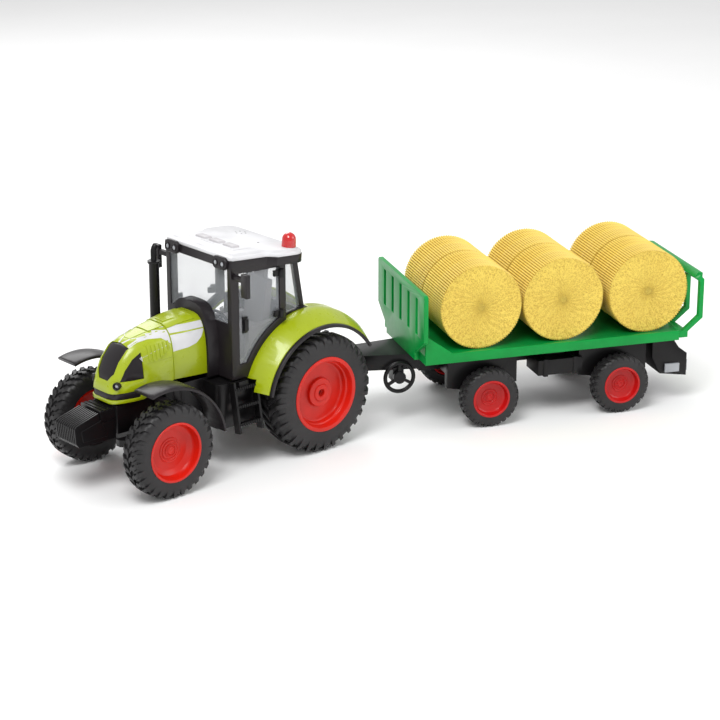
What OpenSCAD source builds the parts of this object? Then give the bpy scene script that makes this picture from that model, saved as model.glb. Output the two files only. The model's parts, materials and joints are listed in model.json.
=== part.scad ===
// Toy farm tractor hitched to a flat trailer that carries six round bales.
// Frame: -X towards the tractor's nose, -Y its left side, +Z up, z = 0 on the ground.
// Tractor modules put x = 0 on the rear axle; trailer modules put x = 0 on the hitch pin.

/* [Tractor wheels] */
// Radius of a rear tyre
rear_tyre_r = 52; // [49:0.5:56]
// Width of a rear tyre
rear_tyre_w = 30; // [24:0.5:32]
// Radius of a rear rim's barrel
rear_rim_r = 32; // [26:0.5:38]
// Distance across the rear wheels' outer faces
rear_track = 132; // [126:1:140]
// Radius of a front tyre
front_tyre_r = 40; // [35:0.5:43]
// Width of a front tyre
front_tyre_w = 22; // [18:0.5:24]
// Radius of a front rim's barrel
front_rim_r = 24.5; // [19:0.5:30]
// Distance across the front wheels' outer faces
front_track = 134; // [128:1:144]
// Distance between the tractor's axles
wheelbase = 160; // [150:1:170]
// Radius of the steel axles
axle_r = 2; // [1.5:0.1:2.5]

/* [Bonnet] */
// Half width of the bonnet at the cab
bonnet_half_w = 24; // [21:0.5:27]
// Height of the bonnet's top line
bonnet_top_z = 132; // [126:0.5:136]
// Wall of the bonnet shell
bonnet_wall = 2; // [1.2:0.1:3]
// Width of the shut line between the two bonnet pieces
shut_line = 0.6; // [0.3:0.1:1.2]

/* [Cab] */
// Half width across the cab sides
cab_half_w = 44; // [41:0.5:46]
// Front face of the cab
cab_front_x = -83; // [-86:0.5:-81]
// Height of the roof frame's underside at the windscreen
roof_z = 174; // [168:0.5:182]
// Angle at which the roof falls to the rear
roof_tilt = 4.5; // [0:0.5:6]
// Thickness of the cab's side frames
frame_t = 5; // [4:0.5:6]
// Thickness of the windows
glass_t = 1.5; // [1:0.1:2]
// Travel of the sound buttons
button_travel = 1.2; // [0.6:0.1:1.6]

/* [Fenders] */
// Gap between a rear tyre and its fender's outer edge
rear_fender_gap = 8; // [6:0.5:10]
// Height by which a rear fender rises towards the cab
rear_fender_rise = 9; // [5:0.5:10]
// Radius of the front fenders
front_fender_r = 57; // [54:0.5:60]

/* [Trailer] */
// Angle of the trailer behind the tractor, seen from above
hitch_angle = -24; // [-40:1:40]
// Length of the load bed
bed_length = 240; // [236:1:300]
// Half width of the load bed
bed_half_w = 58; // [54:0.5:70]
// Height of the load bed's floor
bed_z = 69; // [66:0.5:80]
// Height of the front gate's top rail
gate_top_z = 126; // [110:1:150]
// Half width of the front gate
gate_half_w = 65; // [58:0.5:75]
// Radius of a trailer tyre
trailer_tyre_r = 26.5; // [22:0.5:28]
// Width of a trailer tyre
trailer_tyre_w = 16; // [12:0.5:18]
// Radius of a trailer rim's barrel
trailer_rim_r = 16; // [13:0.5:18]
// Distance across the trailer wheels' outer faces
trailer_track = 131; // [122:1:138]

/* [Bales] */
// Radius of a bale
bale_r = 38; // [30:0.5:38.5]
// Length of one bale
bale_length = 50; // [36:0.5:52]
// Gap between the two bales of a row
bale_gap = 1.2; // [0.4:0.1:3]

/* [Hidden] */
$fn = 64;
fit_gap = 0.06;      // radial clearance of a shaft that turns in a bore
press_gap = 0.02;    // radial clearance of a hub pressed on its shaft
seat_gap = 0.15;     // clearance between fixed pieces that sit together
move_gap = 0.5;      // clearance between pieces that move past each other

rim_proud = 0.4;        // how far a rim's lip stands out of its tyre
rear_axle_z = rear_tyre_r;
front_axle_x = -wheelbase;
nose_end_x = front_axle_x - 62;     // front face of the weight
weight_rear_x = front_axle_x - 21;
tongue_x = front_axle_x - 36;       // front end of the chassis tongue that carries the weight
front_axle_z = front_tyre_r;
chassis_top_z = 78;
chassis_floor_z = rear_axle_z - 19;
wall = 2;

// bonnet: x, half width as a share, underside, top as a drop below the top line
nose_x = front_axle_x - 25.5;
bonnet_rear_x = -94;
bonnet_split_x = nose_x + 57.5;
bonnet_stations = [
    [bonnet_rear_x, 1.00, 81, 0], [bonnet_rear_x - 16, 1.00, 82, 1], [bonnet_split_x, 0.98, 80, 4],
    [nose_x + 40.5, 0.95, 76, 7.5], [nose_x + 27.5, 0.92, 73, 11], [nose_x + 18.5, 0.87, 72, 15],
    [nose_x + 10.5, 0.79, 72, 24], [nose_x + 4.5, 0.68, 72, 36], [nose_x + 1.5, 0.56, 72, 45],
    [nose_x, 0.40, 73, 54]
];

headlamp_r = 2.8;

cowl_t = cab_front_x - bonnet_rear_x - seat_gap;
cab_rear_x = 2;
rear_post_half_w = cab_half_w - 13;
door_low_z = 90;
fender_r = rear_tyre_r + rear_fender_gap;
fender_inner_y = cab_half_w - frame_t;
door_front_x = cab_front_x + 8;
door_hinge_x = -31.5;
frame_arc_r = fender_r + 2.5 + rear_fender_rise;
door_arc_r = frame_arc_r + 6;
pillar_angle = 110.5;     // where the pillar behind the door stands on the wheel arch
pillar_low = [frame_arc_r * cos(pillar_angle), rear_axle_z + frame_arc_r * sin(pillar_angle)];
pillar_top = [pillar_low[0], roof_z + 10];
sill_z = rear_axle_z + frame_arc_r;
roof_overhang = 0.8;
roof_half_w = cab_half_w + roof_overhang;
roof_ring_h = 7;
roof_floor_t = 1.5;
roof_cover_h = 5;
roof_wall = 1.6;
roof_wide_x = 44;       // where the roof widens, measured back from its front edge
roof_length = 77;
roof_wide_half_w = cab_half_w + 7;
button_x = 20.5;          // from the roof's front edge
button_pitch = 18.4;
button_size = [9.5, 15];
button_flange = 1.2;
board_z = 4;
board_t = 1.6;
beacon_pos = [64.5, -40.5];
beacon_r = 6.2;
speaker_pos = [60, 18];
speaker_r = 8.5;

gear_module = 0.8;
axle_gear_teeth = 36;
pinion_teeth = 12;
gear_addendum = 0.6;
gear_dedendum = 0.8;
gear_backlash = 0.12;
gear_y = [10, 15];
gear_centres = gear_module * (axle_gear_teeth + pinion_teeth) / 2;
flywheel_x = -gear_centres;
flywheel_shaft_r = 1.5;
flywheel_r = 13;
flywheel_y = [-9, -1];
gearbox_x = [-35, 18];
gearbox_y = [-13, 19];
gearbox_z = [chassis_floor_z + 2, chassis_floor_z + 37];

hitch_x = 45;
hitch_pin_r = 2;
hitch_z = 53;
eye_r = 6;
eye_t = 6;

drawbar_length = 88;
bed_front_x = 82;
bed_t = 3;
bed_skirt = 8;
gate_t = 4;
rear_gate_half_w = gate_half_w - 7;
rear_gate_reach = 22;
trailer_axle_x = [141, 265];
spine_half_w = 22;
spine_z = [44, bed_z - bed_t - seat_gap];
jockey_x = 68;
jockey_z = 42;
jockey_r = 14.8;
jockey_y = 26;          // inner face of the jockey wheel
jockey_pin_r = 1.6;
bale_pitch = 2 * bale_r + 0.8;
bale_first_x = bed_front_x + bale_r + 15.5;
// the last row leans towards the rear gate
bale_last_x = max(bale_first_x + 2 * bale_pitch, bed_front_x + bed_length - bale_r + 9.5);
bale_xs = [bale_first_x, bale_first_x + bale_pitch, bale_last_x];
bale_z = bed_z + bale_r + 0.05;

// ground position of the whole rig: its bounding box is centred on the origin
tail_x = bed_front_x + bed_length + seat_gap + rear_gate_reach;
tail_half_w = max(rear_gate_half_w, bed_half_w);
rig_max_x = hitch_x + tail_x * cos(hitch_angle) + tail_half_w * abs(sin(hitch_angle));
tail_side = tail_x * sin(abs(hitch_angle)) + tail_half_w * cos(hitch_angle);
front_side = max(front_track / 2 + rim_proud, rear_track / 2 + 1);
rig_shift = [
    -(rig_max_x + nose_end_x) / 2,
    hitch_angle < 0 ? (tail_side - front_side) / 2 : (front_side - tail_side) / 2,
    0
];

// ---------- helpers ----------

module tractor_frame() translate(rig_shift) children();

module trailer_frame() translate(rig_shift) translate([hitch_x, 0, 0]) rotate(hitch_angle) children();

module both_sides() {
    children();
    mirror([0, 1, 0]) children();
}

// A box from its lowest to its highest corner
module block(low, high) translate(low) cube(high - low);

// Puts a shape that is drawn about Z on a crosswise axis: its +Z then points to the left side
module crosswise(x, z) translate([x, 0, z]) rotate([90, 0, 0]) children();

// A crosswise rod between two y values
module rod_y(x, z, r, y0, y1) translate([x, y1, z]) rotate([90, 0, 0]) cylinder(h = y1 - y0, r = r);

// A side outline in x and z, extruded from y0 to y1
module side_plate(outline, y0, y1)
    translate([0, y1, 0]) rotate([90, 0, 0]) linear_extrude(y1 - y0) polygon(outline);

// A flat plan outline, extruded from z0 to z1
module plan_plate(outline, z0, z1) translate([0, 0, z0]) linear_extrude(z1 - z0) polygon(outline);

// Points on an arc about [cx, cz]
function arc(cx, cz, r, a0, a1, n = 24) = [
    for (i = [0 : n]) let (a = a0 + (a1 - a0) * i / n) [cx + r * cos(a), cz + r * sin(a)]
];

// A swept crosswise band: profile points are [radius, y]
module swept_band(cx, cz, profile, a0, a1)
    crosswise(cx, cz) rotate(a0) rotate_extrude(angle = a1 - a0) polygon([for (p = profile) [p[0], -p[1]]]);

// ---------- wheels ----------

// One tyre about Z, its outer face at +w/2
module tyre(r, w, seat_r) {
    shoulder = min(6, w * 0.22);
    rotate_extrude($fn = 96) polygon([
        [seat_r, -w / 2 + 1.5], [seat_r + 2, -w / 2], [r - shoulder * 1.2, -w / 2],
        [r - shoulder * 0.4, -w / 2 + shoulder * 0.4], [r, -w / 2 + shoulder],
        [r, w / 2 - shoulder], [r - shoulder * 0.4, w / 2 - shoulder * 0.4],
        [r - shoulder * 1.2, w / 2], [seat_r + 2, w / 2], [seat_r, w / 2 - 1.5]
    ]);
}

// One rim about Z: barrel, lip, dished web and stepped hub, bored for its axle
module rim(seat_r, w, dish_z, hub_r) {
    barrel_r = seat_r - 0.05;
    rotate_extrude($fn = 96) polygon([
        [axle_r + press_gap, -w / 2 + 2], [hub_r, -w / 2 + 2], [hub_r, dish_z - 2],
        [barrel_r - 2, dish_z - 3.5], [barrel_r - 2, -w / 2 + 1], [barrel_r, -w / 2 + 1],
        [barrel_r, w / 2 - 1.6], [seat_r + 1, w / 2 - 0.5], [seat_r + 1, w / 2 + rim_proud],
        [barrel_r - 1.4, w / 2 + rim_proud], [barrel_r - 2, w / 2 - 1], [barrel_r - 2.6, dish_z - 1.5],
        [hub_r, dish_z], [hub_r, dish_z + w * 0.14], [hub_r * 0.55, dish_z + w * 0.14],
        [hub_r * 0.55, dish_z + w * 0.2], [axle_r + press_gap, dish_z + w * 0.2]
    ]);
}

module wheel_pair(x, z, track, w) {
    for (side = [-1, 1])
        translate([x, side * (track - w) / 2, z]) rotate([-90 * side, 0, 0]) children();
}

module shaft_pair(x, z, track, w, r) rod_y(x, z, r, -track / 2 + w * 0.34, track / 2 - w * 0.34);

module rear_tyres() color([0.13, 0.13, 0.14])
    wheel_pair(0, rear_axle_z, rear_track, rear_tyre_w) tyre(rear_tyre_r, rear_tyre_w, rear_rim_r);
module rear_rims() color([0.88, 0.13, 0.07])
    wheel_pair(0, rear_axle_z, rear_track, rear_tyre_w) rim(rear_rim_r, rear_tyre_w, 2, 9);
module rear_axle() color([0.6, 0.6, 0.62])
    shaft_pair(0, rear_axle_z, rear_track, rear_tyre_w, axle_r);

module front_tyres() color([0.13, 0.13, 0.14])
    wheel_pair(front_axle_x, front_axle_z, front_track, front_tyre_w)
        tyre(front_tyre_r, front_tyre_w, front_rim_r);
module front_rims() color([0.88, 0.13, 0.07])
    wheel_pair(front_axle_x, front_axle_z, front_track, front_tyre_w)
        rim(front_rim_r, front_tyre_w, 2, 6.5);
module front_axle() color([0.6, 0.6, 0.62])
    shaft_pair(front_axle_x, front_axle_z, front_track, front_tyre_w, axle_r);

module trailer_tyres(x) color([0.13, 0.13, 0.14])
    wheel_pair(x, trailer_tyre_r, trailer_track, trailer_tyre_w)
        tyre(trailer_tyre_r, trailer_tyre_w, trailer_rim_r);
module trailer_rims(x) color([0.8, 0.09, 0.08])
    wheel_pair(x, trailer_tyre_r, trailer_track, trailer_tyre_w)
        rim(trailer_rim_r, trailer_tyre_w, 3.2, 4.5);
module trailer_axle(x) color([0.6, 0.6, 0.62])
    shaft_pair(x, trailer_tyre_r, trailer_track, trailer_tyre_w, axle_r);

// ---------- friction drive ----------

function involute(a) = tan(a) * 180 / PI - a;
// Half angle of a tooth at radius r
function tooth_half(r, pitch_r, base_r, teeth) =
    90 / teeth + involute(20) - involute(acos(min(1, base_r / r))) - gear_backlash / 2 / pitch_r * 180 / PI;

module gear_outline(teeth) {
    pitch_r = gear_module * teeth / 2;
    base_r = pitch_r * cos(20);
    root_r = pitch_r - gear_dedendum;
    tip_r = pitch_r + gear_addendum;
    low_r = max(base_r, root_r);
    flank = [for (i = [0 : 5]) low_r + (tip_r - low_r) * i / 5];
    polygon([
        for (t = [0 : teeth - 1]) let (mid = t * 360 / teeth) each concat(
            [let (a = mid - tooth_half(low_r, pitch_r, base_r, teeth)) root_r * [cos(a), sin(a)]],
            [for (r = flank) let (a = mid - tooth_half(r, pitch_r, base_r, teeth)) r * [cos(a), sin(a)]],
            [for (i = [5 : -1 : 0]) let (r = flank[i], a = mid + tooth_half(r, pitch_r, base_r, teeth))
                r * [cos(a), sin(a)]],
            [let (a = mid + tooth_half(low_r, pitch_r, base_r, teeth)) root_r * [cos(a), sin(a)]]
        )
    ]);
}

module rear_axle_gear() color([0.92, 0.92, 0.88])
    translate([0, gear_y[1], rear_axle_z]) rotate([90, 0, 0]) difference() {
        linear_extrude(gear_y[1] - gear_y[0]) gear_outline(axle_gear_teeth);
        translate([0, 0, -1]) cylinder(h = gear_y[1] - gear_y[0] + 2, r = axle_r + press_gap);
    }

module flywheel() color([0.55, 0.55, 0.58]) {
    rod_y(flywheel_x, rear_axle_z, flywheel_shaft_r, gearbox_y[0] + 0.2, gear_y[0]);
    rod_y(flywheel_x, rear_axle_z, flywheel_r, flywheel_y[0], flywheel_y[1]);
    translate([flywheel_x, gear_y[1], rear_axle_z]) rotate([90, 0, 0])
        linear_extrude(gear_y[1] - gear_y[0]) rotate(180 / pinion_teeth) gear_outline(pinion_teeth);
    rod_y(flywheel_x, rear_axle_z, flywheel_shaft_r, gear_y[1], gearbox_y[1] - 0.2);
}

module gearbox() color([0.75, 0.75, 0.72]) difference() {
    block([gearbox_x[0], gearbox_y[0], gearbox_z[0]], [gearbox_x[1], gearbox_y[1], gearbox_z[1]]);
    block([gearbox_x[0] + wall, gearbox_y[0] + wall, gearbox_z[0] + 1.5],
        [gearbox_x[1] - 1.2, gearbox_y[1] - wall, gearbox_z[1] - 1.5]);
    rod_y(0, rear_axle_z, axle_r + fit_gap, gearbox_y[0] - 1, gearbox_y[1] + 1);
    rod_y(flywheel_x, rear_axle_z, flywheel_shaft_r + fit_gap, gearbox_y[0] - 1, gearbox_y[1] + 1);
}

// ---------- chassis ----------

tank_x = [-97, -58];
tank_z = [37, 76];
battery_bay = [[-86, -12], [-50, 12]];
battery_bay_top_z = 46;
chassis_y = 29;
mid_half_w = 22;
front_half_w = 16;
front_block_z = [47, 71];
screw_r = 1.2;
screw_xs = [-89.5, -45.5];

module chassis() color([0.11, 0.11, 0.12]) difference() {
    union() {
        block([-42, -chassis_y, chassis_floor_z], [22, chassis_y, chassis_top_z]);
        block([-92, -mid_half_w, 37], [-42, mid_half_w, chassis_top_z]);
        block([-136, -mid_half_w, 39], [-92, mid_half_w, chassis_top_z]);
        block([weight_rear_x, -front_half_w, front_block_z[0]], [-136, front_half_w, front_block_z[1]]);
        block([tongue_x, -14, 60], [weight_rear_x, 14, 70]);
        both_sides() fuel_tank();
        hitch_bracket();
    }
    block([-42 + wall, -chassis_y + wall, chassis_floor_z + wall],
        [22 - wall, chassis_y - wall, chassis_top_z + 1]);
    block([-130, -mid_half_w + wall, 41], [-92, mid_half_w - wall, chassis_top_z + 1]);
    block([battery_bay[0][0], battery_bay[0][1], 30], [battery_bay[1][0], battery_bay[1][1], battery_bay_top_z]);
    rod_y(0, rear_axle_z, axle_r + fit_gap, -chassis_y - 1, chassis_y + 1);
    for (x = screw_xs) translate([x, 0, 30]) cylinder(h = 12, r = screw_r);
    translate([hitch_x, 0, 30]) cylinder(h = 50, r = hitch_pin_r + press_gap);
    for (groove = [0 : 2]) block([tongue_x + 1.5 + groove * 4.5, -15, 69],
        [tongue_x + 3 + groove * 4.5, 15, 71]);
}

// Side tank with a rounded outer front edge
module fuel_tank() {
    edge = 7;
    block([tank_x[0] + edge, -cab_half_w + 1, tank_z[0]], [tank_x[1], -mid_half_w, tank_z[1]]);
    block([tank_x[0], -cab_half_w + 1 + edge, tank_z[0]], [tank_x[1], -mid_half_w, tank_z[1]]);
    translate([tank_x[0] + edge, -cab_half_w + 1 + edge, tank_z[0]])
        cylinder(h = tank_z[1] - tank_z[0], r = edge);
}

// Clevis behind the axle: two plates that hold the hitch pin
module hitch_bracket() {
    for (low = [hitch_z - eye_t / 2 - 4.5, hitch_z + eye_t / 2 + 0.5]) {
        block([20, -8, low], [hitch_x, 8, low + 4]);
        translate([hitch_x, 0, low]) cylinder(h = 4, r = 8);
    }
    block([20, -12, hitch_z - 12], [28, 12, hitch_z + 12]);
}

module hitch_pin() color([0.6, 0.6, 0.62]) translate([hitch_x, 0, hitch_z - eye_t / 2 - 6]) {
    cylinder(h = eye_t + 13, r = hitch_pin_r);
    translate([0, 0, eye_t + 12]) cylinder(h = 2, r = 3.6);
}

module battery_cover() color([0.13, 0.13, 0.14]) difference() {
    block([-93, -13, 35.2], [-43, 13, 36.9]);
    for (x = screw_xs) translate([x, 0, 30]) cylinder(h = 12, r = screw_r + 0.1);
}

module battery_cells() color([0.75, 0.76, 0.78])
    for (x = [-80, -68, -56]) translate([x, 0, 39]) cylinder(h = 5.4, r = 5.8);

module chassis_screws() color([0.7, 0.7, 0.72]) for (x = screw_xs) translate([x, 0, 34.1]) difference() {
    union() {
        cylinder(h = 1, r = 2.3);
        translate([0, 0, 0.9]) cylinder(h = 6.5, r = screw_r - press_gap);
    }
    block([-1.8, -0.3, -1], [1.8, 0.3, 0.5]);
    block([-0.3, -1.8, -1], [0.3, 1.8, 0.5]);
}

module front_axle_beam() color([0.16, 0.16, 0.17]) difference() {
    union() {
        block([front_axle_x - 7, -front_track / 2 + front_tyre_w + 1.5, front_axle_z - 6],
            [front_axle_x + 7, front_track / 2 - front_tyre_w - 1.5, front_axle_z + 6]);
        block([front_axle_x - 9, -20, front_axle_z - 4], [front_axle_x + 9, 20, front_block_z[0] - seat_gap]);
        both_sides() plan_plate([
            [front_axle_x - 7, -front_track / 2 + front_tyre_w + 1.5], [front_axle_x - 7, -17],
            [front_axle_x - 24, -17], [front_axle_x - 24, -22]
        ], front_axle_z - 2, front_axle_z + 4);
    }
    rod_y(front_axle_x, front_axle_z, axle_r + fit_gap, -70, 70);
}

// Stack of thin plates: a ribbed weight on the nose
module front_weight() color([0.15, 0.15, 0.16]) difference() {
    side_plate([[nose_end_x, 63.5], [tongue_x - 1.5, 69], [tongue_x - seat_gap, 60 - seat_gap],
        [weight_rear_x - seat_gap, 60 - seat_gap], [weight_rear_x - seat_gap, 43], [nose_end_x + 3, 43]], -14, 14);
    for (slot = [0 : 8]) let (y = -12.6 + slot * 2.8) {
        block([nose_end_x - 1, y, 42], [nose_end_x + 4.5, y + 1.3, 62]);
        translate([nose_end_x, y, 63.5]) rotate([0, -12.6, 0]) block([-1, 0, -1.6], [24, 1.3, 3]);
    }
    block([nose_end_x + 9, -3.5, 62], [nose_end_x + 15, 3.5, 70]);
}

module front_fenders() color([0.2, 0.2, 0.21]) both_sides() {
    outer = -front_track / 2 + 0.5;
    inner = -front_track / 2 + front_tyre_w + 3.5;
    swept_band(front_axle_x - 4, front_axle_z - 2,
        [[front_fender_r - 2, outer], [front_fender_r - 2, inner], [front_fender_r, inner],
            [front_fender_r + 1, inner - 4], [front_fender_r + 1, outer + 5], [front_fender_r, outer]], 8, 108);
    // bracket that stands on the chassis front
    x0 = front_axle_x + 16;
    x1 = front_axle_x + 23.8;
    mid_r = front_fender_r - 1;
    block([x0, inner - 2.5, 64], [x1, -front_half_w - seat_gap, 70]);
    side_plate([[x0, 64], [x1, 64],
        [x1, front_axle_z - 2 + sqrt(pow(mid_r, 2) - pow(x1 - front_axle_x + 4, 2))],
        [x0, front_axle_z - 2 + sqrt(pow(mid_r, 2) - pow(x0 - front_axle_x + 4, 2))]],
        inner - 2.5, inner - 0.5);
}

// ---------- bonnet ----------

function station_half_w(s) = bonnet_half_w * s[1];
function station_top(s) = bonnet_top_z - s[3];
// Arched cross-section: nearly upright sides and a crowned top
function arch(half_w, low, top) = [
    for (i = [0 : 20]) let (a = 180 * i / 20, c = cos(a))
        [half_w * sign(c) * pow(abs(c), 0.55), low + (top - low) * pow(max(0, sin(a)), 0.6)]
];

// The bonnet's solid form, taken in by `inset` all round
module bonnet_form(inset) hull() for (s = bonnet_stations)
    translate([s[0] + (s[0] < nose_x + 35.5 ? inset : 0), 0, 0]) rotate([90, 0, 90]) linear_extrude(0.05)
        polygon(arch(station_half_w(s) - inset, s[2] - (inset > 0 ? 6 : 0), station_top(s) - inset));

module bonnet_shell() difference() {
    bonnet_form(0);
    bonnet_form(bonnet_wall);
    side_plate([[nose_x - 14.5, 60], [-60, 60], [-60, 80.5], [bonnet_split_x, 84], [nose_x + 35.5, 77],
        [nose_x + 27.5, 73.5], [nose_x - 14.5, 72.5]], -40, 40);
}

// Outlines of the three dark openings: the nose panel, the side panels, the lower band
module nose_opening(grow) translate([nose_x + 15.5, 0, 102]) rotate([0, 30, 0]) translate([-30, 0, 0]) rotate([0, 90, 0])
    linear_extrude(34) polygon([
        [-15 - grow, -12 - grow], [-17 - grow, 0], [-15 - grow, 12 + grow], [9, 11 + grow],
        [16 + grow, 6], [16 + grow, -6], [9, -11 - grow]
    ]);
module side_opening(grow) translate([nose_x, 0, 0])
    side_plate([[28.5 + grow, 91 - grow], [28.5 + grow, 113 + grow], [19.5, 108 + grow],
        [12.5, 100], [7.5 - grow, 91 - grow]], -40, 40);
module band_opening(grow) translate([nose_x, 0, 0])
    side_plate([[-14.5, 76 - grow], [24.5 + grow, 76 - grow], [26.5 + grow, 82.5 + grow],
        [-14.5, 80.5 + grow]], -40, 40);

module bonnet_front() color([0.72, 0.8, 0.08]) difference() {
    bonnet_shell();
    nose_opening(0);
    side_opening(0);
    band_opening(0);
    headlamp_axis() cylinder(h = 20, r = headlamp_r + seat_gap);
    block([bonnet_split_x - shut_line / 2, -40, 60], [0, 40, 150]);
}

module bonnet_rear() color([0.72, 0.8, 0.08]) intersection() {
    bonnet_shell();
    block([bonnet_split_x + shut_line / 2, -40, 60], [bonnet_rear_x, 40, 150]);
}

module grilles() color([0.2, 0.19, 0.21]) intersection() {
    difference() {
        bonnet_form(0.4);
        bonnet_form(bonnet_wall - 0.2);
    }
    union() {
        nose_opening(-seat_gap);
        side_opening(-seat_gap);
        band_opening(-seat_gap);
    }
    block([nose_x - 14.5, -40, 74], [nose_x + 35.5, 40, 140]);
}

// A headlamp's axis: its seat is bored into the bonnet beside the nose panel
module headlamp_axis() both_sides() translate([nose_x + 9.5, -14, 88]) rotate([0, -90, 25]) children();
module headlamps() color([0.85, 0.87, 0.9]) headlamp_axis() cylinder(h = 5, r = headlamp_r);

// ---------- cab ----------

// Coordinates of the roof: x back from its front edge, z up from the frame's underside
module roof_frame() translate([cab_front_x - roof_overhang, 0, roof_z]) rotate([0, roof_tilt, 0]) children();

function roof_outline(grow) = [
    [-grow, -roof_half_w - grow], [roof_wide_x - 6, -roof_half_w - grow],
    [roof_wide_x, -roof_wide_half_w - grow],
    each arc(roof_length - 12, -roof_wide_half_w + 12, 12 + grow, -90, 0, 8),
    each arc(roof_length - 12, roof_wide_half_w - 12, 12 + grow, 0, 90, 8),
    [roof_wide_x, roof_wide_half_w + grow],
    [roof_wide_x - 6, roof_half_w + grow], [-grow, roof_half_w + grow]
];

// Everything more than z0 above the roof frame's underside
module above_roof(z0) roof_frame() block([-40, -80, z0], [140, 80, 60]);

// Outline of the door opening, or of the door when taken in by `inset`
function door_outline(inset) = let (r = door_arc_r + inset) concat(
    [[door_front_x + inset, roof_z - 5 - inset], [door_front_x + inset, door_low_z + inset]],
    arc(0, rear_axle_z, r, 180 - asin((door_low_z + inset - rear_axle_z) / r),
        acos((door_hinge_x - inset) / r), 10),
    [[door_hinge_x - inset, roof_z - 7.5 - inset]]
);

module side_frame() difference() {
    side_plate(concat(
        [[cab_front_x, roof_z + 10], [cab_front_x, chassis_top_z]],
        arc(0, rear_axle_z, frame_arc_r, 180 - asin((chassis_top_z - rear_axle_z) / frame_arc_r),
            pillar_angle, 14),
        [pillar_top]
    ), -cab_half_w, -cab_half_w + frame_t);
    side_plate(door_outline(0), -cab_half_w - 1, -cab_half_w + frame_t + 1);
    above_roof(0.5);
}

module rear_post() difference() {
    side_plate([[cab_rear_x - 5, chassis_top_z], [cab_rear_x, chassis_top_z], [cab_rear_x, 124],
        [-8, roof_z + 10], [-13, roof_z + 10], [cab_rear_x - 5, 124]],
        -rear_post_half_w - 4, -rear_post_half_w);
    above_roof(0.5);
}

module cab_frame() color([0.24, 0.23, 0.25]) {
    both_sides() side_frame();
    both_sides() rear_post();
    block([cab_front_x, -cab_half_w + frame_t, chassis_top_z], [cab_front_x + 3, cab_half_w - frame_t, 126]);
    block([cab_rear_x - 5, -rear_post_half_w, chassis_top_z], [cab_rear_x, rear_post_half_w, 122]);
    both_sides() difference() {
        plan_plate([[pillar_low[0] - 4, -cab_half_w + 1], [pillar_low[0] - 6, -cab_half_w + 4],
            [cab_rear_x - 4, -rear_post_half_w - 1.5], [cab_rear_x - 0.5, -rear_post_half_w - 1.5],
            [cab_rear_x - 0.5, -fender_inner_y - 0.3], [pillar_low[0] + 2, -fender_inner_y - 0.3]],
            chassis_top_z, sill_z);
        rod_y(0, rear_axle_z, rear_tyre_r + 4, -cab_half_w - 1, -rear_post_half_w - 4.5);
        rod_y(0, rear_axle_z, frame_arc_r + 0.2, -cab_half_w - 1, -fender_inner_y + seat_gap);
    }
    cowl();
    roof_frame() difference() {
        union() {
            plan_plate(roof_outline(0), 0, roof_ring_h);
            both_sides() block([-2.5, -41, 0.6], [0, -24, roof_ring_h - 0.2]);
        }
        plan_plate(roof_outline(-3.5), roof_floor_t, roof_ring_h + 1);
        for (y = lamp_y) translate([-3, y, lamp_z]) rotate([0, 90, 0]) cylinder(h = 2, r = lamp_r);
    }
}

lamp_y = [-36, -29, 29, 36];
lamp_z = 3.6;
lamp_r = 2.6;

module roof_lamps() color([0.9, 0.92, 0.95]) roof_frame()
    for (y = lamp_y) translate([-3, y, lamp_z]) rotate([0, 90, 0]) cylinder(h = 1.9, r = lamp_r - 0.05);

// Hooded panel between the bonnet and the windscreen
module cowl() translate([cab_front_x - cowl_t, 0, 0]) rotate([90, 0, 90]) linear_extrude(cowl_t)
    polygon(arch(bonnet_half_w + 2, chassis_top_z + 1, bonnet_top_z + 8));

module cab_windows() color([0.8, 0.88, 0.92, 0.4]) difference() {
    union() {
        block([cab_front_x + 0.6, -cab_half_w + frame_t, 126], [cab_front_x + 0.6 + glass_t, cab_half_w - frame_t, roof_z + 8]);
        side_plate([[cab_rear_x - 3, 122], [cab_rear_x - 3 + glass_t, 122], [cab_rear_x - 3 + glass_t, 124],
            [-10 + glass_t, roof_z + 10], [-10, roof_z + 10], [cab_rear_x - 3, 124]],
            -rear_post_half_w, rear_post_half_w);
        both_sides() quarter_window();
    }
    above_roof(-seat_gap);
}

// Pane from the door pillar to the rear post
module quarter_window() hull() {
    low = sill_z + seat_gap;
    for (corner = [[pillar_low[0], low], [pillar_top[0], pillar_top[1] - 1]])
        translate([corner[0] + seat_gap, -cab_half_w + 2.5, corner[1]]) cube([1, glass_t, 1]);
    for (corner = [[cab_rear_x - 6.2, low], [-14.2, pillar_top[1] - 1]])
        translate([corner[0], -rear_post_half_w - 4, corner[1]]) cube([1, glass_t, 1]);
}

// One door pane, hinged on the rear pillar; the left one is drawn
module door_pane() side_plate(door_outline(0.6), -cab_half_w + 0.6, -cab_half_w + 0.6 + glass_t);

hinge_r = 2.4;
hinge_zs = [rear_axle_z + sqrt(pow(door_arc_r, 2) - pow(door_hinge_x, 2)) + 4, roof_z - 12];
module door_fittings() {
    for (z = hinge_zs) {
        translate([door_hinge_x - 0.5, -cab_half_w - 2.6, z - 3.5]) cylinder(h = 7, r = hinge_r);
        block([door_hinge_x - 7, -cab_half_w - 2, z - 2.5], [door_hinge_x - 0.5, -cab_half_w + 0.5, z + 2.5]);
    }
    block([door_front_x + 3, -cab_half_w - 1, 117], [door_front_x + 8, -cab_half_w + 0.5, 131]);
    block([door_front_x + 3.5, -cab_half_w - 3, 119], [door_front_x + 7.5, -cab_half_w - 1, 129]);
}

module door_left() color([0.8, 0.88, 0.92, 0.4]) door_pane();
module door_right() color([0.8, 0.88, 0.92, 0.4]) mirror([0, 1, 0]) door_pane();
module door_left_fittings() color([0.15, 0.15, 0.16]) door_fittings();
module door_right_fittings() color([0.15, 0.15, 0.16]) mirror([0, 1, 0]) door_fittings();

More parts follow.
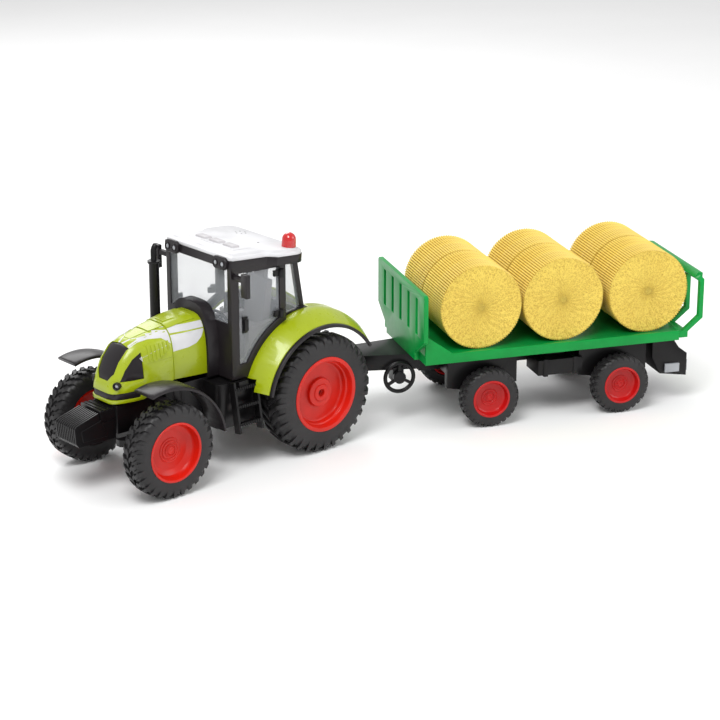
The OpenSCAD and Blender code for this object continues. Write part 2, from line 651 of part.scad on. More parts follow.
// Floor, seat and console as one grey moulding
module cab_interior() color([0.62, 0.6, 0.6]) {
    block([cab_front_x + 3.2, -cab_half_w + frame_t + 0.2, chassis_top_z + 0.1],
        [-59, cab_half_w - frame_t - 0.2, 82]);
    block([-59, -30, chassis_top_z + 0.1], [-10, 30, 82]);
    block([-52, -14, 82], [-20, 14, 100]);
    block([-54, -15, 100], [-20, 15, 107]);
    side_plate([[-26, 107], [-18, 107], [-14, 145], [-20, 147]], -13, 13);
    side_plate([[-19.5, 144], [-14.6, 143], [-13.5, 153], [-17.5, 154]], -7, 7);
    both_sides() block([-48, -22, 82], [-20, -16, 112]);
    block([cab_front_x + 3.2, -12, 82], [cab_front_x + 14, 12, 116]);
}

module steering_wheel() color([0.3, 0.3, 0.31])
    translate([cab_front_x + 15, 0, 112]) rotate([0, 62, 0]) {
        cylinder(h = 9, r = 1.6);
        translate([0, 0, 9]) rotate_extrude($fn = 48) translate([9, 0]) circle(r = 1.3, $fn = 24);
        for (a = [90, 210, 330]) rotate(a) translate([0, -1, 8.4]) cube([9, 2, 1.2]);
    }

// White roof cover with button slots, speaker holes and a seat for the beacon
module roof_cover() color([0.93, 0.93, 0.91]) roof_frame() translate([0, 0, roof_ring_h + 0.1]) difference() {
    union() {
        roof_slab(0, roof_wide_x + 8, roof_half_w, 7, 0);
        roof_slab(roof_wide_x, roof_length, roof_wide_half_w, 3, 0);
    }
    roof_slab(0, roof_wide_x + 8, roof_half_w, 7, roof_wall);
    roof_slab(roof_wide_x, roof_length, roof_wide_half_w, 3, roof_wall);
    block([roof_wide_x - 4, -cab_half_w + 6, -1], [roof_wide_x + 12, cab_half_w - 6, roof_cover_h - roof_wall]);
    for (i = [-1 : 1]) translate([button_x, i * button_pitch, -1])
        linear_extrude(20) square([button_size[0] + move_gap, button_size[1] + move_gap], center = true);
    for (i = [0 : 5]) translate([speaker_pos[0] + 4.5 * cos(i * 60), speaker_pos[1] + 4.5 * sin(i * 60), -1])
        cylinder(h = 20, r = 0.7);
    translate([speaker_pos[0], speaker_pos[1], -1]) cylinder(h = 20, r = 0.7);
    translate([beacon_pos[0], beacon_pos[1], -1]) cylinder(h = 20, r = beacon_r - 1.2);
}

// A slab whose top is drawn in by `shoulder` at the sides, taken in by `inset` all round
module roof_slab(x0, x1, half_w, shoulder, inset) hull() {
    block([x0 + inset, -half_w + inset, -0.5 * inset], [x1 - inset, half_w - inset, 1.5 - 0.5 * inset]);
    block([x0 + 4 + inset, -half_w + shoulder + inset, 0],
        [x1 - 6 - inset, half_w - shoulder - inset, roof_cover_h - inset]);
}

// A push button with a flange that keeps it under the roof cover
module button(row) color([0.9, 0.89, 0.87]) roof_frame() translate([button_x, row * button_pitch, 0]) {
    top = roof_ring_h + roof_cover_h + 2.2;
    flange_top = roof_ring_h + roof_cover_h - roof_wall - 0.1;
    block([-button_size[0] / 2, -button_size[1] / 2, flange_top - button_flange],
        [button_size[0] / 2, button_size[1] / 2, top]);
    block([-button_size[0] / 2 - 1, -button_size[1] / 2 - 1, flange_top - button_flange],
        [button_size[0] / 2 + 1, button_size[1] / 2 + 1, flange_top]);
    translate([0, 0, board_z + board_t + button_travel + 0.4])
        cylinder(h = flange_top - board_z - board_t - button_travel - 1, r = 2);
}

module circuit_board() color([0.1, 0.35, 0.15]) roof_frame() {
    block([9, -34, board_z], [42, 34, board_z + board_t]);
    for (y = [-28, 28]) block([14, y - 3, roof_floor_t], [22, y + 3, board_z]);
}

module speaker() color([0.25, 0.25, 0.27]) roof_frame() translate([speaker_pos[0], speaker_pos[1], 3]) {
    cylinder(h = 3.5, r1 = 5, r2 = speaker_r);
    translate([0, 0, 3.5]) cylinder(h = 2.2, r = speaker_r);
}

module beacon() color([0.85, 0.05, 0.04]) roof_frame()
    translate([beacon_pos[0], beacon_pos[1], roof_ring_h + roof_cover_h + 0.15]) {
        cylinder(h = 6, r = beacon_r);
        intersection() {
            translate([0, 0, 6]) sphere(r = beacon_r);
            block([-10, -10, 6], [10, 10, 20]);
        }
    }

mirror_pos = [cab_front_x + 2.5, -60, 164];
mirror_half_w = 3.8;
module mirrors() color([0.2, 0.2, 0.21]) both_sides() {
    block([mirror_pos[0] - 2, mirror_pos[1] - mirror_half_w, mirror_pos[2] - 11],
        [mirror_pos[0] + 2, mirror_pos[1] + mirror_half_w, mirror_pos[2] + 9]);
    block([mirror_pos[0] - 1, mirror_pos[1] + mirror_half_w, mirror_pos[2] + 1],
        [mirror_pos[0] + 3, -cab_half_w - seat_gap, mirror_pos[2] + 5]);
}

stack_pos = [tank_x[0] - 5, 36];
module exhaust_stack() color([0.17, 0.17, 0.18]) {
    block([stack_pos[0] - 5, mid_half_w + seat_gap, 64], [stack_pos[0] + 4.8, stack_pos[1] + 4, 70]);
    translate([stack_pos[0], stack_pos[1], 70]) cylinder(h = 96, r = 4.4);
    translate([stack_pos[0], stack_pos[1], 166]) cylinder(h = 2, r = 5.4);
    translate([stack_pos[0], stack_pos[1], 167.9]) cylinder(h = 9.1, r = 2.6);
    translate([stack_pos[0] + 5, stack_pos[1], 176.5]) rotate([90, 0, 0]) rotate([0, 0, 120])
        rotate_extrude(angle = 60) translate([5, 0]) circle(r = 2.4);
}

// ---------- fenders and steps ----------

module rear_fenders() color([0.72, 0.8, 0.08]) both_sides() difference() {
    fender_shell();
    // clearance for the ladder and the tank
    block([-80, -cab_half_w - 8, 50], [tank_x[1] - 2.5, -fender_inner_y + 1, tank_z[1] + 0.6]);
}

module fender_shell() {
    top_r = frame_arc_r - seat_gap;
    outer = -rear_track / 2 + 2;
    inner = -fender_inner_y;
    swept_band(0, rear_axle_z, [[fender_r, outer], [fender_r + 2.5, outer], [top_r - 1, inner - 10],
        [top_r, inner - 5], [top_r, inner], [top_r - 2.5, inner], [top_r - 2.5, inner - 4.5],
        [top_r - 3.5, inner - 9.5], [fender_r, outer + 2.5]], 36, 168);
    // shoulder behind the cab
    swept_band(0, rear_axle_z, [[top_r - 2.2, inner - 1], [top_r - 0.3, inner - 1],
        [top_r + 0.5, -rear_post_half_w], [top_r - 1.5, -rear_post_half_w]],
        42, acos((cab_rear_x + 1.5) / (top_r + 0.5)));
}

module fender_trims() color([0.25, 0.24, 0.26]) both_sides() {
    outer = -rear_track / 2 + 2;
    swept_band(0, rear_axle_z, [[fender_r - 1.2, outer - 3], [fender_r + 1.2, outer - 3],
        [fender_r + 1.9, outer - 0.1], [fender_r - 1.2, outer - 0.1]], 33, 169);
}

step_zs = [40, 55, 70];
step_lean = 10;
// Boarding ladder: two leaning rails with three steps
module cab_steps() color([0.16, 0.16, 0.17]) both_sides()
    translate([0, -cab_half_w + 0.9, 78]) rotate([-step_lean, 0, 0]) {
        for (x = [-87, -63]) block([x, -6, -44], [x + 1.8, 0, -2]);
        for (z = step_zs) block([-86, -5.5, z - 78], [-62, 0, z - 76]);
        block([-80, -5, -7], [-70, 0, -2]);
    }

// ---------- trailer ----------

module trailer_chassis() color([0.1, 0.09, 0.1]) difference() {
    union() {
        drawbar();
        block([drawbar_length, -spine_half_w, spine_z[0]], [300, spine_half_w, spine_z[1]]);
        for (x = trailer_axle_x) bogie(x);
        both_sides() toolbox();
        tail_beam();
    }
    for (x = trailer_axle_x) rod_y(x, trailer_tyre_r, axle_r + fit_gap, -60, 60);
    translate([0, 0, 30]) cylinder(h = 50, r = hitch_pin_r + fit_gap);
    rod_y(jockey_x, jockey_z, jockey_pin_r + fit_gap, -jockey_y - 1, -10);
}

// Tapered plate with an eye for the hitch pin
module drawbar() {
    translate([0, 0, hitch_z - eye_t / 2]) cylinder(h = eye_t, r = eye_r);
    plan_plate([[0, -5], [20, -6], [20, 6], [0, 5]], hitch_z - eye_t / 2, hitch_z + eye_t / 2);
    plan_plate([[18, -7], [40, -17], [drawbar_length, -25], [drawbar_length, 25], [40, 17], [18, 7]], 47, 61);
    block([jockey_x - 5, -jockey_y + 1, jockey_z - 5], [jockey_x + 5, -12, 50]);
}

bogie_half_w = trailer_track / 2 - trailer_tyre_w - 2.5;
module bogie(x) {
    block([x - 35, -bogie_half_w, 46], [x + 30, bogie_half_w, spine_z[1]]);
    both_sides() side_plate([[x - 35, 46], [x - 35, 34], [x - 24, 32], [x - 10, trailer_tyre_r - 5],
        [x + 8, trailer_tyre_r - 5], [x + 14, 32], [x + 30, 34], [x + 30, 46]],
        -bogie_half_w, -bogie_half_w + 7);
    block([x - 4, -bogie_half_w, trailer_tyre_r - 5], [x + 4, bogie_half_w, trailer_tyre_r + 5]);
}

module toolbox() {
    block([190, -51, 38], [232, -spine_half_w, 52]);
    for (x = [195, 223]) block([x, -52, 37], [x + 4, -spine_half_w, 53]);
    block([202, -36, 52], [220, -spine_half_w, spine_z[1]]);
}

tail_x0 = 300;
module tail_beam() {
    side_plate([[tail_x0, spine_z[1]], [tail_x0, 44], [tail_x0 + 8, 28], [tail_x0 + 34, 24],
        [tail_x0 + 34, 45], [tail_x0 + 26, 51], [tail_x0 + 16, spine_z[1]]], -50, 50);
}

module tail_lamps() color([0.92, 0.93, 0.95]) both_sides() {
    block([tail_x0 + 12, -52.5, 29], [tail_x0 + 26, -50 - 0.1, 37]);
    block([tail_x0 + 34.1, -48, 28], [tail_x0 + 35.6, -34, 38]);
}

module jockey_wheel() color([0.1, 0.1, 0.11]) crosswise(jockey_x, jockey_z) {
    translate([0, 0, jockey_y]) rotate_extrude() translate([jockey_r - 1.8, 1.8]) circle(r = 1.8, $fn = 24);
    for (a = [90, 210, 330]) rotate(a) translate([0, -1.3, jockey_y + 0.8]) cube([jockey_r - 2, 2.6, 2]);
    translate([0, 0, jockey_y]) cylinder(h = 4, r = 5.5);
    translate([0, 0, 14]) cylinder(h = jockey_y - 13.9, r = jockey_pin_r);
}

module load_bed() color([0.02, 0.55, 0.25]) difference() {
    union() {
        block([bed_front_x, -bed_half_w, bed_z - bed_t], [bed_front_x + bed_length, bed_half_w, bed_z]);
        both_sides() side_plate([[bed_front_x, bed_z - bed_skirt], [bed_front_x + bed_length, bed_z - bed_skirt],
            [bed_front_x + bed_length, bed_z - bed_t + 1], [bed_front_x, bed_z - bed_t + 1]],
            -bed_half_w, -bed_half_w + 2);
        both_sides() block([bed_front_x, -bed_half_w, bed_z - 0.5], [bed_front_x + bed_length, -bed_half_w + 3, bed_z + 0.8]);
        both_sides() side_plate([[bed_front_x, bed_z], [bed_front_x + 26, bed_z], [bed_front_x, bed_z + 19]],
            -bed_half_w, -bed_half_w + 2.5);
        block([bed_front_x, -bed_half_w, bed_z - bed_skirt], [bed_front_x + 2, bed_half_w, bed_z]);
    }
}

// Headboard with five slots
module front_gate() color([0.02, 0.55, 0.25]) {
    slots = 5;
    pitch = 2 * gate_half_w * 0.172;
    low_z = gate_top_z - 42;
    translate([bed_front_x - gate_t - seat_gap, 0, 0]) rotate([90, 0, 90]) linear_extrude(gate_t) difference() {
        polygon([
            [-gate_half_w, gate_top_z - 2], [-gate_half_w + 2, gate_top_z], [gate_half_w - 2, gate_top_z],
            [gate_half_w, gate_top_z - 2], [gate_half_w, low_z], [bed_half_w - 18, bed_z - 1],
            [bed_half_w - 18, bed_z - bed_skirt], [-bed_half_w + 18, bed_z - bed_skirt], [-bed_half_w + 18, bed_z - 1],
            [-gate_half_w, low_z]
        ]);
        for (i = [0 : slots - 1]) translate([(i - (slots - 1) / 2) * pitch - 3, low_z + 2])
            square([6, gate_top_z - low_z - 9]);
    }
}

// Open tailboard: bent posts under a top rail
module rear_gate() color([0.02, 0.55, 0.25]) translate([bed_front_x + bed_length + seat_gap, 0, 0]) {
    posts = 5;
    post_w = 5;
    half = rear_gate_half_w;
    reach = rear_gate_reach;
    low = bed_z - bed_skirt + 2;
    block([0, -bed_half_w, low], [8, bed_half_w, bed_z]);
    for (i = [0 : posts - 1]) let (y = -half + i * (2 * half - post_w) / (posts - 1)) side_plate([
        [2, bed_z - 1], [7.5, bed_z - 1], [reach, bed_z + 11], [reach, 116], [reach - 4, 120],
        [reach - 7.5, 117], [reach - 4, 113.5], [reach - 4, bed_z + 13]], y, y + post_w);
    side_plate([[reach - 7.5, 117], [reach - 4, 113.5], [reach, 116], [reach, 121], [reach - 5, 121.5]],
        -half + post_w - 1, half - post_w + 1);
}

module bale(row, side) color([0.9, 0.72, 0.24])
    translate([bale_xs[row], side > 0 ? bale_length + bale_gap / 2 : -bale_gap / 2, bale_z])
        rotate([90, 0, 0]) rotate_extrude($fn = 96) polygon([
            [0, 0], [bale_r - 1, 0], [bale_r, 1], [bale_r, bale_length - 1], [bale_r - 1, bale_length],
            [0, bale_length]
        ]);

// ---------- nodes ----------

tractor_frame() chassis();
tractor_frame() battery_cover();
tractor_frame() battery_cells();
tractor_frame() front_axle_beam();
tractor_frame() front_weight();
tractor_frame() front_fenders();
tractor_frame() bonnet_front();
tractor_frame() bonnet_rear();
tractor_frame() grilles();
tractor_frame() headlamps();
tractor_frame() cab_frame();
tractor_frame() cab_windows();
tractor_frame() cab_interior();
tractor_frame() steering_wheel();
tractor_frame() roof_cover();
tractor_frame() speaker();
tractor_frame() circuit_board();
tractor_frame() beacon();
tractor_frame() roof_lamps();
tractor_frame() mirrors();
tractor_frame() exhaust_stack();
tractor_frame() rear_fenders();
tractor_frame() fender_trims();
tractor_frame() cab_steps();
tractor_frame() hitch_pin();
tractor_frame() gearbox();
tractor_frame() chassis_screws();
tractor_frame() door_left();
tractor_frame() door_left_fittings();
tractor_frame() door_right();
tractor_frame() door_right_fittings();
tractor_frame() button(-1);  // button_left
tractor_frame() button(0);  // button_middle
tractor_frame() button(1);  // button_right
tractor_frame() rear_axle();
tractor_frame() rear_axle_gear();
tractor_frame() rear_tyres();
tractor_frame() rear_rims();
tractor_frame() flywheel();
tractor_frame() front_axle();
tractor_frame() front_tyres();
tractor_frame() front_rims();
trailer_frame() trailer_chassis();
trailer_frame() load_bed();
trailer_frame() front_gate();
trailer_frame() rear_gate();
trailer_frame() tail_lamps();
trailer_frame() jockey_wheel();
trailer_frame() trailer_axle(trailer_axle_x[0]);  // trailer_front_axle
trailer_frame() trailer_tyres(trailer_axle_x[0]);  // trailer_front_tyres
trailer_frame() trailer_rims(trailer_axle_x[0]);  // trailer_front_rims
trailer_frame() trailer_axle(trailer_axle_x[1]);  // trailer_rear_axle
trailer_frame() trailer_tyres(trailer_axle_x[1]);  // trailer_rear_tyres
trailer_frame() trailer_rims(trailer_axle_x[1]);  // trailer_rear_rims
trailer_frame() bale(0, -1);  // bale_front_left
trailer_frame() bale(0, 1);  // bale_front_right
trailer_frame() bale(1, -1);  // bale_middle_left
trailer_frame() bale(1, 1);  // bale_middle_right
trailer_frame() bale(2, -1);  // bale_rear_left
trailer_frame() bale(2, 1);  // bale_rear_right
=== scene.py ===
"""Toy tractor with a flat trailer and six round bales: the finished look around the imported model."""

import json
import math

import bmesh
import bpy
import numpy as np
from mathutils import Matrix, Vector
from mathutils.bvhtree import BVHTree

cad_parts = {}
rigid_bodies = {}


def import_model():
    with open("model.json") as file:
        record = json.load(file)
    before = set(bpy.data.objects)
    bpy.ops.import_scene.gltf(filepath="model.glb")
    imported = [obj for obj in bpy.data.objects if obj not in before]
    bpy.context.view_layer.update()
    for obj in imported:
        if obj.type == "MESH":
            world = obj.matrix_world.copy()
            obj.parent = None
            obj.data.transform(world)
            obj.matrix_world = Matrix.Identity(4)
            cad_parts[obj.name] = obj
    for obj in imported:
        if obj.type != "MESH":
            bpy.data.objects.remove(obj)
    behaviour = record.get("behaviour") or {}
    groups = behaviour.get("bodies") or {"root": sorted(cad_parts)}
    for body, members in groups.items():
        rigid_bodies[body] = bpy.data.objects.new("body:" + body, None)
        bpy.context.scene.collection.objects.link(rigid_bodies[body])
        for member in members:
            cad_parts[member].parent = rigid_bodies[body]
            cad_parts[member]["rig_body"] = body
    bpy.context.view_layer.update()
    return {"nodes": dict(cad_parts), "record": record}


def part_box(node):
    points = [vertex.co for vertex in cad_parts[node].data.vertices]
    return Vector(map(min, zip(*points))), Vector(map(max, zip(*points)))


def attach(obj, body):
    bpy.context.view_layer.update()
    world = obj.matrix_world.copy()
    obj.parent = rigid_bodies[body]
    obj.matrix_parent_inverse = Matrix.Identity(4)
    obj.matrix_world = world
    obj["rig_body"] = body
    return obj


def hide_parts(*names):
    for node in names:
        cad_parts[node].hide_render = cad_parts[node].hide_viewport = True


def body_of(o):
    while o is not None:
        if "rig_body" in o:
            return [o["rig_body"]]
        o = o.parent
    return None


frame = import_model()
MM = 0.001


# ---------- where things are ----------

def middle(node):
    """Middle of a CAD node's box."""
    low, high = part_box(node)
    return (low + high) / 2


# The tractor's pieces are drawn with x = 0 on the rear axle, the trailer's with x = 0 on the
# hitch pin; both are in millimetres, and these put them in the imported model.
rear_axle = middle("rear_axle")
hitch = middle("hitch_pin")
trailer_line = middle("trailer_rear_axle") - hitch
TRACTOR = Matrix.Translation((rear_axle.x, rear_axle.y, 0))
TRAILER = (Matrix.Translation((hitch.x, hitch.y, 0))
           @ Matrix.Rotation(math.atan2(trailer_line.y, trailer_line.x), 4, "Z"))


def points_of(node, base):
    """The points of a CAD node in a base's own axes, in millimetres."""
    part = frame["nodes"][node]
    turn = np.array(base.inverted() @ part.matrix_world)
    return (np.array([v.co for v in part.data.vertices]) @ turn[:3, :3].T + turn[:3, 3]) / MM


def local_box(node, base):
    """Lowest and highest corner of a CAD node in a base's own axes, in millimetres."""
    points = points_of(node, base)
    return points.min(0), points.max(0)


# ---------- camera, floor and light ----------

def aim(obj, place, target):
    """Stands a camera or a lamp at place, looking at target."""
    obj.location = place
    obj.rotation_euler = (Vector(target) - Vector(place)).to_track_quat("-Z", "Y").to_euler()
    bpy.context.scene.collection.objects.link(obj)
    return obj


def from_tractor(x, y, z):
    return TRACTOR @ Vector((x * MM, y * MM, z * MM))


camera = bpy.data.objects.new("camera", bpy.data.cameras.new("camera"))
camera.data.lens = 117.5
camera.data.sensor_width = 36
camera.data.clip_start, camera.data.clip_end = 0.1, 20
bpy.context.scene.camera = aim(camera, from_tractor(-1218.4, -1497.0, 727.8), from_tractor(96.3, 0, 44.2))


def lamp(name, place, target, size, watts, colour=(1, 1, 1)):
    data = bpy.data.lights.new(name, "AREA")
    data.shape = "SQUARE"
    data.size, data.energy, data.color = size, watts, colour
    return aim(bpy.data.objects.new(name, data), place, target)


lamp("key_light", (-0.9, -0.5, 1.6), (0, 0, 0.05), 0.8, 20)
lamp("fill_light", (0.9, -1.2, 0.8), (0, 0, 0.05), 0.9, 6)
lamp("back_light", (0.4, 1.3, 1.2), (0, 0, 0.05), 1.0, 12)

sky = bpy.data.worlds.new("studio")
sky.use_nodes = True
sky.node_tree.nodes["Background"].inputs["Color"].default_value = (1, 1, 1, 1)
sky.node_tree.nodes["Background"].inputs["Strength"].default_value = 0.68
bpy.context.scene.world = sky
bpy.context.scene.view_settings.view_transform = "Standard"


# ---------- finishes ----------

def tone(red, green, blue):
    """A colour as it is seen, turned into the light it gives back."""
    return tuple(c / 12.92 if c <= 0.04045 else ((c + 0.055) / 1.055) ** 2.4 for c in (red, green, blue))


class Wire:
    """A shader socket that takes part in plain maths."""

    def __init__(self, finish, socket):
        self.finish, self.socket = finish, socket

    def _math(self, operation, *values):
        return self.finish.node("ShaderNodeMath", {"operation": operation}, dict(enumerate(values)))

    def __add__(self, other):
        return self._math("ADD", self, other)

    def __radd__(self, other):
        return self._math("ADD", other, self)

    def __sub__(self, other):
        return self._math("SUBTRACT", self, other)

    def __rsub__(self, other):
        return self._math("SUBTRACT", other, self)

    def __mul__(self, other):
        return self._math("MULTIPLY", self, other)

    def __rmul__(self, other):
        return self._math("MULTIPLY", other, self)

    def __truediv__(self, other):
        return self._math("DIVIDE", self, other)

    def __pow__(self, other):
        return self._math("POWER", self, other)

    def absolute(self):
        return self._math("ABSOLUTE", self)

    def between(self, low, high):
        """0 below low, 1 above high, with a soft step between them."""
        return self.finish.node("ShaderNodeMapRange", {"interpolation_type": "SMOOTHSTEP"},
                                {"Value": self, "From Min": low, "From Max": high}, "Result")


class Finish:
    """One material, built node by node."""

    def __init__(self, name, **sockets):
        self.material = bpy.data.materials.new(name)
        self.material.use_nodes = True
        self.tree = self.material.node_tree
        self.shader = self.tree.nodes["Principled BSDF"]
        self.set(**sockets)

    def set(self, **sockets):
        """Feeds the shader: base_color=..., roughness=..., normal=..."""
        for name, value in sockets.items():
            self.feed(self.shader.inputs[name.replace("_", " ").title().replace("Ior", "IOR")], value)
        return self

    def feed(self, socket, value):
        if isinstance(value, Wire):
            self.tree.links.new(value.socket, socket)
        elif isinstance(value, tuple) and len(value) == 3 and socket.type == "RGBA":
            socket.default_value = (*value, 1)
        else:
            socket.default_value = value

    def node(self, kind, settings=None, sockets=None, out=0):
        """Adds a node: settings first, then the values or links of its sockets."""
        made = self.tree.nodes.new(kind)
        for name, value in (settings or {}).items():
            setattr(made, name, value)
        for name, value in (sockets or {}).items():
            self.feed(made.inputs[name], value)
        return Wire(self, made.outputs[out])

    def place(self):
        """Where a point lies on the piece itself, in metres."""
        return self.node("ShaderNodeTexCoord", {}, {}, "Object")

    def axes(self):
        parts = self.node("ShaderNodeSeparateXYZ", {}, {0: self.place()}).socket.node
        return [Wire(self, parts.outputs[i]) for i in range(3)]

    def stretch(self, x, y, z):
        """The piece's own coordinates, scaled along each axis."""
        return self.node("ShaderNodeVectorMath", {"operation": "MULTIPLY"},
                         {0: self.place(), 1: (x, y, z)})

    def vector(self, x, y, z):
        return self.node("ShaderNodeCombineXYZ", {}, {0: x, 1: y, 2: z})

    def turn(self, y, x):
        """The angle of a point about the piece's own Z axis."""
        return self.node("ShaderNodeMath", {"operation": "ARCTAN2"}, {0: y, 1: x})

    def noise(self, scale, detail=2.0, rough=0.5, at=None):
        return self.node("ShaderNodeTexNoise", {}, {
            "Vector": at or self.place(), "Scale": scale, "Detail": detail, "Roughness": rough}, "Fac")

    def blend(self, share, first, second):
        """Mixes two colours."""
        return self.node("ShaderNodeMix", {"data_type": "RGBA"}, {0: share, 6: first, 7: second}, 2)

    def bumps(self, height, depth_mm):
        return self.node("ShaderNodeBump", {}, {"Height": height, "Strength": 1.0, "Distance": depth_mm * MM})


def moulded(name, colour, rough, grain=0.02, shade=0.06, coat=0.0, sheen=0.5):
    """Injection-moulded plastic: a fine pebbled skin, slow flow marks in the colour, uneven gloss."""
    skin = Finish(name, specular_ior_level=sheen, coat_roughness=0.08)
    flow = skin.noise(28, 3.0, 0.6)
    pebble = skin.noise(1700, 2.0, 0.5)
    darker = tuple(c * (1 - 2.2 * shade) for c in colour)
    lighter = tuple(min(1.0, c * (1 + shade) + 0.01 * shade) for c in colour)
    skin.set(base_color=skin.blend(flow.between(0.3, 0.7), darker, lighter),
             roughness=rough - 0.04 + 0.08 * skin.noise(160, 3.0, 0.6) + 0.03 * pebble,
             coat_weight=coat * (0.75 + 0.5 * skin.noise(60)) if coat else 0.0,
             normal=skin.bumps(pebble, grain))
    return skin.material


lime = moulded("lime_plastic", tone(0.62, 0.68, 0.03), 0.27, grain=0.004, shade=0.03, coat=0.25)
black_plastic = moulded("black_plastic", tone(0.07, 0.065, 0.07), 0.30, grain=0.012, sheen=0.26)
charcoal = moulded("charcoal_plastic", tone(0.13, 0.115, 0.125), 0.30, grain=0.010, sheen=0.30)
cab_grey = moulded("cab_grey_plastic", tone(0.60, 0.58, 0.59), 0.42, grain=0.012)
roof_white = moulded("roof_white_plastic", tone(0.82, 0.82, 0.83), 0.34, grain=0.008)
button_white = moulded("button_white_rubber", tone(0.74, 0.73, 0.74), 0.5, grain=0.02)
lamp_clear = moulded("lamp_plastic", tone(0.62, 0.63, 0.65), 0.12, grain=0.004, coat=0.8)
beacon_red = moulded("beacon_plastic", tone(0.74, 0.02, 0.04), 0.12, grain=0.003, coat=0.8)
rim_orange = moulded("orange_rim_plastic", tone(0.78, 0.10, 0.035), 0.32, grain=0.008, coat=0.15,
                     sheen=0.3)
rim_red = moulded("red_rim_plastic", tone(0.72, 0.06, 0.06), 0.30, grain=0.006, coat=0.15, sheen=0.3)
trailer_green = moulded("green_plastic", tone(0.0, 0.56, 0.235), 0.32, grain=0.008, sheen=0.25)
casting_grey = moulded("grey_casting_plastic", tone(0.45, 0.45, 0.46), 0.42, grain=0.014)
gear_white = moulded("gear_nylon", tone(0.9, 0.9, 0.87), 0.45, grain=0.01)
board_green = moulded("board_lacquer", tone(0.1, 0.35, 0.15), 0.35, grain=0.006)


def steel_finish():
    """Drawn steel rod with fine lines across it."""
    bar = Finish("drawn_steel", metallic=1.0)
    lines = bar.noise(900, 2.0, 0.5, at=bar.stretch(1, 0.05, 1))
    bar.set(base_color=bar.blend(lines, tone(0.62, 0.62, 0.64), tone(0.78, 0.78, 0.79)),
            roughness=0.25 + 0.15 * lines, normal=bar.bumps(lines, 0.01))
    return bar.material


steel = steel_finish()


def rubber_finish():
    """Satin tyre rubber with a dusty bloom."""
    skin = Finish("tyre_rubber", specular_ior_level=0.4)
    bloom = skin.noise(45, 4.0, 0.6).between(0.35, 0.7)
    pebble = skin.noise(1300, 2.0, 0.6)
    skin.set(base_color=skin.blend(bloom, tone(0.11, 0.105, 0.11), tone(0.155, 0.15, 0.155)),
             roughness=0.40 + 0.10 * bloom + 0.05 * pebble, normal=skin.bumps(pebble, 0.02))
    return skin.material


rubber = rubber_finish()


def window_finish():
    """Clear window plastic: see-through, with a faint grey film and a hard gloss."""
    pane = Finish("window_plastic", base_color=tone(0.80, 0.82, 0.84), roughness=0.04, ior=1.49)
    pane.set(alpha=0.14 + 0.06 * pane.noise(30, 2.0))
    return pane.material


window = window_finish()


def straw_finish():
    """Moulded straw: painted shade in the grooves between the ribs, and rings of short strokes on the end
    faces with painted shade in their dents.
    """
    bale = Finish("straw", specular_ior_level=0.35)
    low, high = local_box("bale_front_left", TRAILER)
    reach, half = (high[2] - low[2]) / 2 * MM, (high[1] - low[1]) / 2 * MM
    x, y, z = bale.axes()
    radius = (x * x + y * y) ** 0.5
    strokes = bale.noise(1.0, 2.0, 0.6, at=bale.vector(radius * 800, bale.turn(y, x) * 30, z * 300))
    end = z.absolute().between(half - 0.9 * MM, half - 0.5 * MM)
    # the crest mask is painted light on the rib crests; the grooves between the ribs get painted shade
    crest_light = radius.between(reach - 1.5 * MM, reach - 0.35 * MM)
    # lit is painted light and shade: on the end faces the raised strokes are lit and their dents painted
    # shade, on the sides it follows the crest mask
    lit = end * (0.35 + 0.65 * strokes.between(0.32, 0.58)) + (1 - end) * crest_light
    patches = bale.noise(30, 2.0)
    # the first straw colour is the painted shade, the second the lit straw; patches varies them at random
    bale.set(base_color=bale.blend(lit * (0.75 + 0.5 * patches), tone(0.68, 0.50, 0.13),
                                   tone(0.91, 0.80, 0.36)),
             roughness=0.42 + 0.2 * strokes, normal=bale.bumps(end * strokes, 0.7))
    return bale.material


straw = straw_finish()

FINISHES = {
    "lime_body": lime, "black_plastic": black_plastic, "charcoal_frame": charcoal,
    "clear_window": window, "grey_interior": cab_grey, "white_cover": roof_white,
    "button_white": button_white, "red_lens": beacon_red, "lamp_lens": lamp_clear,
    "orange_rim": rim_orange, "red_rim": rim_red, "tyre_rubber": rubber, "steel": steel,
    "gear_white": gear_white, "green_trailer": trailer_green, "grey_casting": casting_grey,
    "board_green": board_green, "straw": straw,
}

floor_mesh = bpy.data.meshes.new("floor")
HALF_FLOOR = 3      # metres
floor_mesh.from_pydata([(-HALF_FLOOR, -HALF_FLOOR, 0), (HALF_FLOOR, -HALF_FLOOR, 0),
                        (HALF_FLOOR, HALF_FLOOR, 0), (-HALF_FLOOR, HALF_FLOOR, 0)], [], [(0, 1, 2, 3)])
floor = bpy.data.objects.new("floor", floor_mesh)
bpy.context.scene.collection.objects.link(floor)
floor_paint = Finish("floor_paint", roughness=0.75)
floor_paint.set(base_color=floor_paint.blend(floor_paint.noise(6, 3), tone(0.97, 0.97, 0.97),
                                             tone(0.99, 0.99, 0.99)))
floor_mesh.materials.append(floor_paint.material)

# ---------- CAD nodes that show ----------

node_slots = {part["node"]: part["material_slot"] for part in frame["record"]["subparts"]}


EDGE_BEVEL, CUSHION_BEVEL = 0.3, 0.9      # millimetres


def soften(obj, width, angle):
    """Rounds the edges of an object that are sharper than the angle."""
    edge = obj.modifiers.new("edge", "BEVEL")
    edge.width, edge.segments = width * MM, 2
    edge.limit_method, edge.angle_limit = "ANGLE", math.radians(angle)
    edge.harden_normals = True


def dress(node, slot, bevel):
    """Gives a CAD node its finish and softens its edges."""
    part = frame["nodes"][node]
    part.data.materials.clear()
    part.data.materials.append(FINISHES[slot])
    weld = part.modifiers.new("weld", "WELD")
    weld.merge_threshold = 0.00001
    flat = part.modifiers.new("flat", "DECIMATE")
    flat.decimate_type, flat.angle_limit = "DISSOLVE", math.radians(0.6)
    soften(part, bevel, 32)
    for poly in part.data.polygons:
        poly.use_smooth = True


for name in frame["nodes"]:
    dress(name, node_slots[name], CUSHION_BEVEL if name == "cab_interior" else EDGE_BEVEL)

# ---------- drawing pieces, in millimetres ----------

